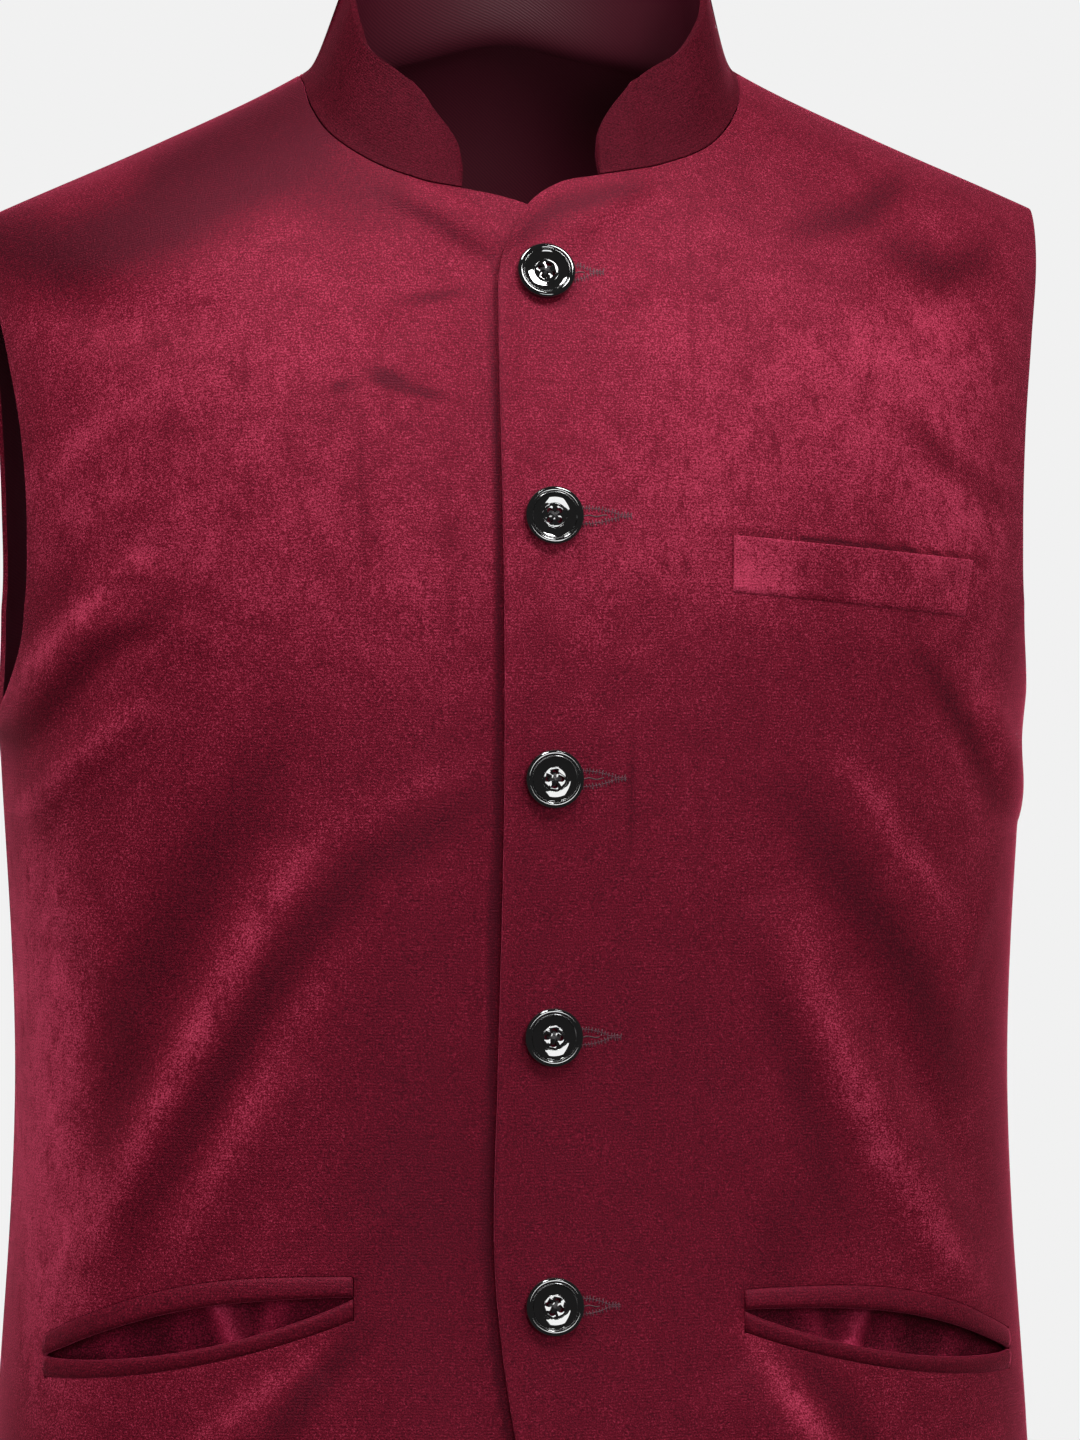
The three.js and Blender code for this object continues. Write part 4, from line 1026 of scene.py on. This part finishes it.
# a closed bar through rings of points
def makeBar(name, rings):
    count, size = rings.shape[:2]
    around = np.arange(size)
    faces = [
        [i * size + j, i * size + (j + 1) % size, (i + 1) * size + (j + 1) % size, (i + 1) * size + j]
        for i in range(count - 1) for j in around
    ]
    points = rings.reshape(-1, 3)
    ends = [list(around[::-1]), list(around + (count - 1) * size)]
    a, b, c = (points[[f[k] for f in faces]] for k in (0, 1, 2))
    middle = points.mean(0)
    if (np.cross(a - middle, b - middle) * (c - middle)).sum() < 0:
        faces = [f[::-1] for f in faces]
        ends = [e[::-1] for e in ends]
    return makeMesh(name, points, [*faces, *ends])


section = roundedSection(jetSection)
for side, hand in (("left", 1), ("right", -1)):
    for name, seamLine, lipLine in (("upper", "seamAbove", "lipAbove"), ("lower", "seamBelow", "lipBelow")):
        (x0, _), (x1, _) = pocket["slit"][hand]
        share = shares(pocket["steps"], body["seamGap"] / (x1 - x0))
        lines = pocketLines(hand, share)
        toward = 1 if lipLine == "lipBelow" else -1
        seam = lines[seamLine] + toward * body["seamGap"]
        z = mix(seam[:, None], lines[lipLine][:, None], section[None, :, 0])
        x = np.broadcast_to(lines["x"][:, None], z.shape)
        rings = onFront(hand, x, z, np.broadcast_to(section[None, :, 1], z.shape))
        piece = makeBar(f"velvet_jet_{side}_{name}", rings)
        setPointValues(piece, "napAndShading", np.full(len(piece.data.vertices), pocket["jetNap"]))
        setClothMap(piece, np.stack([x.reshape(-1), z.reshape(-1)], -1))
        dress(piece, [velvet], [f"{side}_jet_{name}"])
        pieces[f"jet_{side}_{name}"] = piece

    up, across = np.meshgrid(*map(shares, facing["steps"]), indexing="ij")
    lines = pocketLines(hand, mix(-facing["past"], 1 + facing["past"], across))
    z = mix(lines["seamBelow"] - facing["below"], lines["seamAbove"] + facing["above"], up)
    hollow = np.sin(math.pi * across) * np.sin(math.pi * up)
    bent = up - 0.5 + facing["bend"] * (up - 0.5) ** 2
    ridges = [high * bell((across - at - lean * bent) / half) for at, lean, half, high in facing["creases"]]
    sunk = (facing["pouch"] - sum(ridges)) * hollow ** facing["pouchRound"]
    layers = [onFront(hand, lines["x"], z, -body["wall"] - facing["behind"] - sunk - depth)
              for depth in (0, facing["wall"])]
    piece, used = makeWall(f"velvet_facing_{side}", *layers)
    facingShading = np.clip(facing["pouchShade"] + sum(ridges) / facing["ridgeHighlight"], -1, 1)
    layCloth(piece, used, facingShading, np.stack([lines["x"], z], -1))
    dress(piece, [litFacingVelvet, lining], [f"{side}_pocket_facing"])
    pieces[f"facing_{side}"] = piece
print("pockets made")

welt = {
    "inner": (73, -194),
    "outer": (178, -203.5),
    "height": 22.5,
    "slant": 3,
    "steps": (20, 84),  # up it and along it
    "wall": 1.1,
    "foot": 0.45,  # how proud its foot is, and over what height it comes to its whole wall
    "fold": 2,
    "gape": 1.1,
    "edgeRound": 0.5,
    "napAndShading": 0.33,
    # more patches made lighter or darker, each at a share of its length, with its half width and its strength
    "patches": [(0, 0.22, 0.3), (0.38, 0.1, -0.4)],
}
up, across = np.meshgrid(*map(shares, welt["steps"]), indexing="ij")
x = mix(welt["inner"][0], welt["outer"][0] - welt["slant"] * (1 - up), across)
z = mix(welt["inner"][1], welt["outer"][1], across) - welt["height"] * (1 - up)
# sewn down along its foot, a little open along its top
proud = mix(welt["foot"], welt["wall"] + welt["gape"] * up * up, smooth(0, welt["fold"] / welt["height"], up))
layers = [onFront(1, x, z, proud - depth) for depth in (0, welt["wall"])]
piece, used = makeWall("velvet_chest_welt", *layers)
# the welt takes the front's nap and painted light and shade, drawn a little lighter
weltNapAndShading = napAndShadingAt("front", x, z) + welt["napAndShading"]
for at, half, strength in welt["patches"]:
    weltNapAndShading += strength * bell((across - at) / half)
layCloth(piece, used, weltNapAndShading, np.stack([x, z], -1))
roundEdges(piece, welt["edgeRound"])
dress(piece, [velvet, lining], ["chest_welt"])
pieces["welt"] = piece
print("welt made")

# buttons

button = {
    "seat": 0.5,
    "radius": 11.75,
    "thick": 3.8,
    "hole": 1.1,
    "holeCircle": 2.7,
    "heights": (-87, -186, -291, -394.5, -502),
    "turns": (20, 0, 45, 40, 20),  # in degrees, each on its thread
    "core": (0.5, 0.45),  # the plain disc's thickness and the height of its middle, as shares of the whole
    "bevel": 0.16,
    "bevelAngle": 18,
    "smoothAngle": 32,
    "thread": 0.24,  # radius of a strand
    "strands": (-0.36, 0, 0.36),  # how far each lies to the side in its bundle
    "threadFoot": 0.6,
    "threadTops": {(0, 2): 2.65, (1, 3): 2.95},  # the holes that each bundle joins, and how high it goes
    # rings worked from the edge inwards, each with its inset and its move along the axis: a broad rounded
    # rim, a fine bead inside it, the dish, and a flat disc with the holes in its middle
    "top": [
        (0.25, 0.42), (0.4, 0.33), (0.5, 0.14), (0.5, 0), (0.4, -0.12), (0.18, -0.12), (0.14, 0.1), (0.16, 0),
        (0.14, -0.14), (0.35, -0.45), (0.6, -0.2), (0.9, -0.19), (1.0, -0.12), (1.1, -0.06), (0.12, -0.12),
        (0.12, 0.02), (0.14, 0.14), (0.3, 0.03),
    ],
    "foot": [(0.7, -0.6), (2.2, -0.15)],
}


def holePlaces():
    angle = math.pi / 4 + math.pi / 2 * np.arange(4)
    return button["holeCircle"] * np.stack([np.cos(angle), np.sin(angle)], -1)


def deselectAll():
    for thing in bpy.context.selected_objects:
        thing.select_set(False)


def selectOnly(thing):
    deselectAll()
    thing.select_set(True)
    bpy.context.view_layer.objects.active = thing


def makeButton():
    deselectAll()
    radius, thick = button["radius"] * mm, button["thick"] * mm
    depth, middle = thick * button["core"][0], thick * button["core"][1]
    bpy.ops.mesh.primitive_cylinder_add(vertices=96, radius=radius, depth=depth, location=(0, 0, middle))
    disc = bpy.context.object
    bpy.ops.object.mode_set(mode="EDIT")
    bpy.ops.mesh.select_mode(type="FACE")
    for isTop, rings in ((True, button["top"]), (False, button["foot"])):
        bpy.ops.mesh.select_all(action="DESELECT")
        bpy.ops.object.mode_set(mode="OBJECT")
        for face in disc.data.polygons:
            face.select = face.normal.z > 0.9 if isTop else face.normal.z < -0.9
        bpy.ops.object.mode_set(mode="EDIT")
        for inset, move in rings:
            bpy.ops.mesh.inset(thickness=inset * mm)
            bpy.ops.transform.translate(value=(0, 0, move * mm))
    bpy.ops.object.mode_set(mode="OBJECT")
    for x, y in holePlaces() * mm:
        deselectAll()
        bpy.ops.mesh.primitive_cylinder_add(
            vertices=24, radius=button["hole"] * mm, depth=thick * 3, location=(x, y, 0)
        )
        drill = bpy.context.object
        cut = disc.modifiers.new("hole", "BOOLEAN")
        cut.operation, cut.solver, cut.object = "DIFFERENCE", "EXACT", drill
        bpy.context.view_layer.objects.active = disc
        bpy.ops.object.modifier_apply(modifier=cut.name)
        bpy.data.objects.remove(drill)
    selectOnly(disc)
    bpy.ops.object.transform_apply(location=True, rotation=True, scale=True)
    bevel = disc.modifiers.new("soft", "BEVEL")
    bevel.width, bevel.segments, bevel.limit_method = button["bevel"] * mm, 3, "ANGLE"
    bevel.angle_limit = math.radians(button["bevelAngle"])
    bpy.ops.object.modifier_apply(modifier=bevel.name)
    bpy.ops.object.shade_smooth_by_angle(angle=math.radians(button["smoothAngle"]))
    return disc


# short tubes through rows of points, one mesh
def makeThreads(name, lines, radius, sides=3):
    curve = bpy.data.curves.new(name, "CURVE")
    curve.dimensions = "3D"
    curve.bevel_depth = radius * mm
    curve.bevel_resolution = sides
    curve.use_fill_caps = True
    for line in lines:
        spline = curve.splines.new("POLY")
        spline.points.add(len(line) - 1)
        for point, place in zip(spline.points, line):
            point.co = [*(np.asarray(place) * mm), 1]
    selectOnly(addThing(name, curve))
    bpy.ops.object.convert(target="MESH")
    thing = bpy.context.object
    thing.data.shade_smooth()
    return thing


def buttonMatrix(height, turn):
    place = placeOf(False, 0, height)
    origin = clothPoint(False, 1, place, button["seat"], fine=0)
    out = Vector(bodyNormal(False, *place))
    right = Vector((0, 0, 1)).cross(out).normalized()
    top = out.cross(right)
    basis = Matrix((right, top, out)).transposed().to_4x4()
    return Matrix.Translation(Vector(origin) * mm) @ basis @ Matrix.Rotation(math.radians(turn), 4, "Z")


def bentBar(start, end, low, high):
    t = shares(10)[:, None]
    line = mix(np.array([*start, 0.0]), np.array([*end, 0.0]), t)
    line[:, 2] = mix(low, high, np.sin(math.pi * t[:, 0]) ** 0.6)  # rises steeply out of its holes
    return line


model = makeButton()
for k, (height, turn) in enumerate(zip(button["heights"], button["turns"]), 1):
    piece = model.copy()
    piece.data = model.data.copy()
    piece.name = piece.data.name = f"polished_button_{k}"
    bpy.context.scene.collection.objects.link(piece)
    piece.data.transform(buttonMatrix(height, turn))
    dress(piece, [buttonGloss], [f"button_{k}"])
    holes = holePlaces()
    lines = []
    for (start, end), high in button["threadTops"].items():
        step = holes[end] - holes[start]
        off = np.array([-step[1], step[0]]) / np.hypot(*step)
        for shift in button["strands"]:
            first, last = holes[start] + off * shift, holes[end] + off * shift
            lines.append(bentBar(first, last, button["threadFoot"], high))
    thread = makeThreads(f"button_thread_{k}", lines, button["thread"])
    thread.data.transform(buttonMatrix(height, turn))
    dress(thread, [buttonThread], [])
bpy.data.objects.remove(model)
print("buttons made")

# buttonholes, worked in thread on the over front, to the wearer's left of each button

buttonhole = {
    "ends": (23.5, 31.5, 29.5, 27.5, 27),  # x of the far end of each
    "start": 9,
    "half": 2.9,  # half the height of the leaf at the button
    "tip": 0.35,
    "round": 2.4,
    "tail": 4.5,
    "stitch": 1.3,
    "slant": (0.4, 0.15),  # how far a stitch leans over, and by how much that varies
    "reach": 1.05,
    "thread": 0.2,
    "slit": 0.26,
    "slitShare": 0.7,  # how much of the leaf the dark slit runs through
    # heights over the front: a stitch's ends, its rise between them, the leaf's edge and the slit
    "lifts": (0.02, 0.22, -0.12, -0.08),
}


# half the height of the leaf at x
def leafHalf(x, leafEnd):
    share = np.clip((x - buttonhole["start"]) / (leafEnd - buttonhole["start"]), 0, 1)
    return buttonhole["tip"] + buttonhole["half"] * (1 - share ** buttonhole["round"])


low, rise, edgeLow, slitLow = buttonhole["lifts"]
t = shares(6)
for k, (height, end) in enumerate(zip(button["heights"], buttonhole["ends"]), 1):
    leafEnd = end - buttonhole["tail"]
    lines = []
    for n, x in enumerate(np.arange(buttonhole["start"], end, buttonhole["stitch"])):
        for way in (1, -1):
            # no two stitches are quite alike
            slant = buttonhole["slant"][0] + buttonhole["slant"][1] * math.sin(n * 2.3 + way)
            reach = buttonhole["reach"] * (1 + 0.25 * math.sin(n * 1.7 + way))
            z = height + way * (leafHalf(x, leafEnd) + mix(-reach, reach, t))
            lines.append(onFront(1, x + slant * t, z, low + rise * np.sin(math.pi * t)))
    along = mix(buttonhole["start"], end, shares(40))
    for way in (1, -1):
        edge = height + way * leafHalf(along, leafEnd)
        lines.append(onFront(1, along, edge, np.full_like(along, edgeLow)))
    thread = makeThreads(f"buttonhole_{k}", lines, buttonhole["thread"], 2)
    dress(thread, [holeThread], [])
    # the slit's shade is painted: a dark tube along the cut
    slitEnd = mix(buttonhole["start"], leafEnd, buttonhole["slitShare"])
    along = mix(buttonhole["start"], slitEnd, shares(20))
    slitLine = onFront(1, along, height + 0.3 * np.sin(along), np.full_like(along, slitLow))
    slitShadeMesh = makeThreads(f"buttonhole_slit_{k}", [slitLine], buttonhole["slit"], 2)
    dress(slitShadeMesh, [paintedSlitShade], [])
print("buttonholes made")

# each piece's cloth area, printed beside the size of its cut

flatSizes = {
    "front": (0.33, 0.76), "back": (0.6, 0.78), "collar": (0.47, 0.044), "welt": (0.106, 0.026),
    "facing": (0.13, 0.06), "jet": (0.123, 0.018),
}
for name, piece in pieces.items():
    mesh = piece.data
    area = sum(p.area for p in mesh.polygons) / 2
    width, length = flatSizes[name.split("_")[0]]
    print("sheet", name, round(area, 4), "of", round(width * length, 4), "faces", len(mesh.polygons))
    area = min(max(area, 0.3 * width * length), width * length)

# camera, floor and lights

view = {"turn": -8, "height": -0.2675, "aside": 0.0113, "away": 2.5, "lens": 148.8, "sensor": 36}
stage = {"floorZ": -0.86, "floorRadius": 2.4, "backdropRadius": 30, "worldStrength": 0.12}
# each light's name, its place, what it points at, its size, its power and whether gloss shows it
lights = [
    ("key", (0.7, -1.5, 1.6), (0, -0.1, -0.1), 0.6, 48, True),
    ("over", (-0.5, -0.9, 1.5), (-0.05, 0, -0.1), 0.45, 32, True),
    ("front", (0.24, -2.5, -0.05), (0, 0, -0.3), 0.7, 16, True),
    ("leftSide", (-2.2, -0.7, -0.5), (0, 0, -0.45), 1.2, 34, False),
    ("rightSide", (2.2, -0.7, -0.1), (0, 0, -0.35), 1.2, 30, False),
    ("behind", (0.6, 2.4, -0.25), (0, 0.1, -0.4), 1.4, 95, False),
]


def addCamera():
    turn = math.radians(view["turn"])
    back = Vector((math.sin(turn), -math.cos(turn), 0))
    right = Vector((math.cos(turn), math.sin(turn), 0))
    data = bpy.data.cameras.new("camera")
    data.lens = view["lens"]
    data.sensor_width = view["sensor"]
    camera = addThing("camera", data)
    camera.location = back * view["away"] + right * view["aside"] + Vector((0, 0, view["height"]))
    camera.rotation_euler = (-back).to_track_quat("-Z", "Y").to_euler()
    bpy.context.scene.camera = camera


def addLight(name, place, target, size, power, inGloss):
    data = bpy.data.lights.new(name, "AREA")
    data.shape, data.size, data.energy = "SQUARE", size, power
    light = addThing(name, data)
    light.location = place
    light.visible_glossy = inGloss
    light.rotation_euler = (Vector(target) - Vector(place)).to_track_quat("-Z", "Y").to_euler()


def addStage():
    deselectAll()
    bpy.ops.mesh.primitive_circle_add(vertices=96, radius=stage["floorRadius"], fill_type="NGON")
    floor = bpy.context.object
    floor.name = "floor"
    floor.data.transform(Matrix.Translation((0, 0, stage["floorZ"])))
    material = newMaterial("paleFloor")
    tree = material.node_tree
    shader = addNode(tree, "ShaderNodeBsdfPrincipled", {
        "Base Color": paint("#a4a4a4"), "Roughness": 0.9, "Specular IOR Level": 0.1,
        "Emission Color": paint("#f0f0f0"), "Emission Strength": 0.3,
    })
    addNode(tree, "ShaderNodeOutputMaterial", {"Surface": shader.outputs["BSDF"]})
    floor.data.materials.append(material)
    deselectAll()
    bpy.ops.mesh.primitive_uv_sphere_add(segments=48, ring_count=24, radius=stage["backdropRadius"])
    backdrop = bpy.context.object
    backdrop.name = "backdrop"
    material = newMaterial("palePaper")
    glow = addNode(material.node_tree, "ShaderNodeEmission", {"Color": paint("#f1f1f1"), "Strength": 1})
    addNode(material.node_tree, "ShaderNodeOutputMaterial", {"Surface": glow.outputs["Emission"]})
    backdrop.data.materials.append(material)
    for thing in (floor, backdrop):
        thing.visible_diffuse = thing.visible_glossy = thing.visible_shadow = False
    world = bpy.data.worlds.new("studio")
    bpy.context.scene.world = world
    world.use_nodes = True
    ground = world.node_tree.nodes["Background"]
    ground.inputs["Color"].default_value = paint("#f0f0f0")
    ground.inputs["Strength"].default_value = stage["worldStrength"]


addCamera()
addStage()
for row in lights:
    addLight(*row)
bpy.context.scene.view_settings.view_transform = "Standard"
print("studio made")
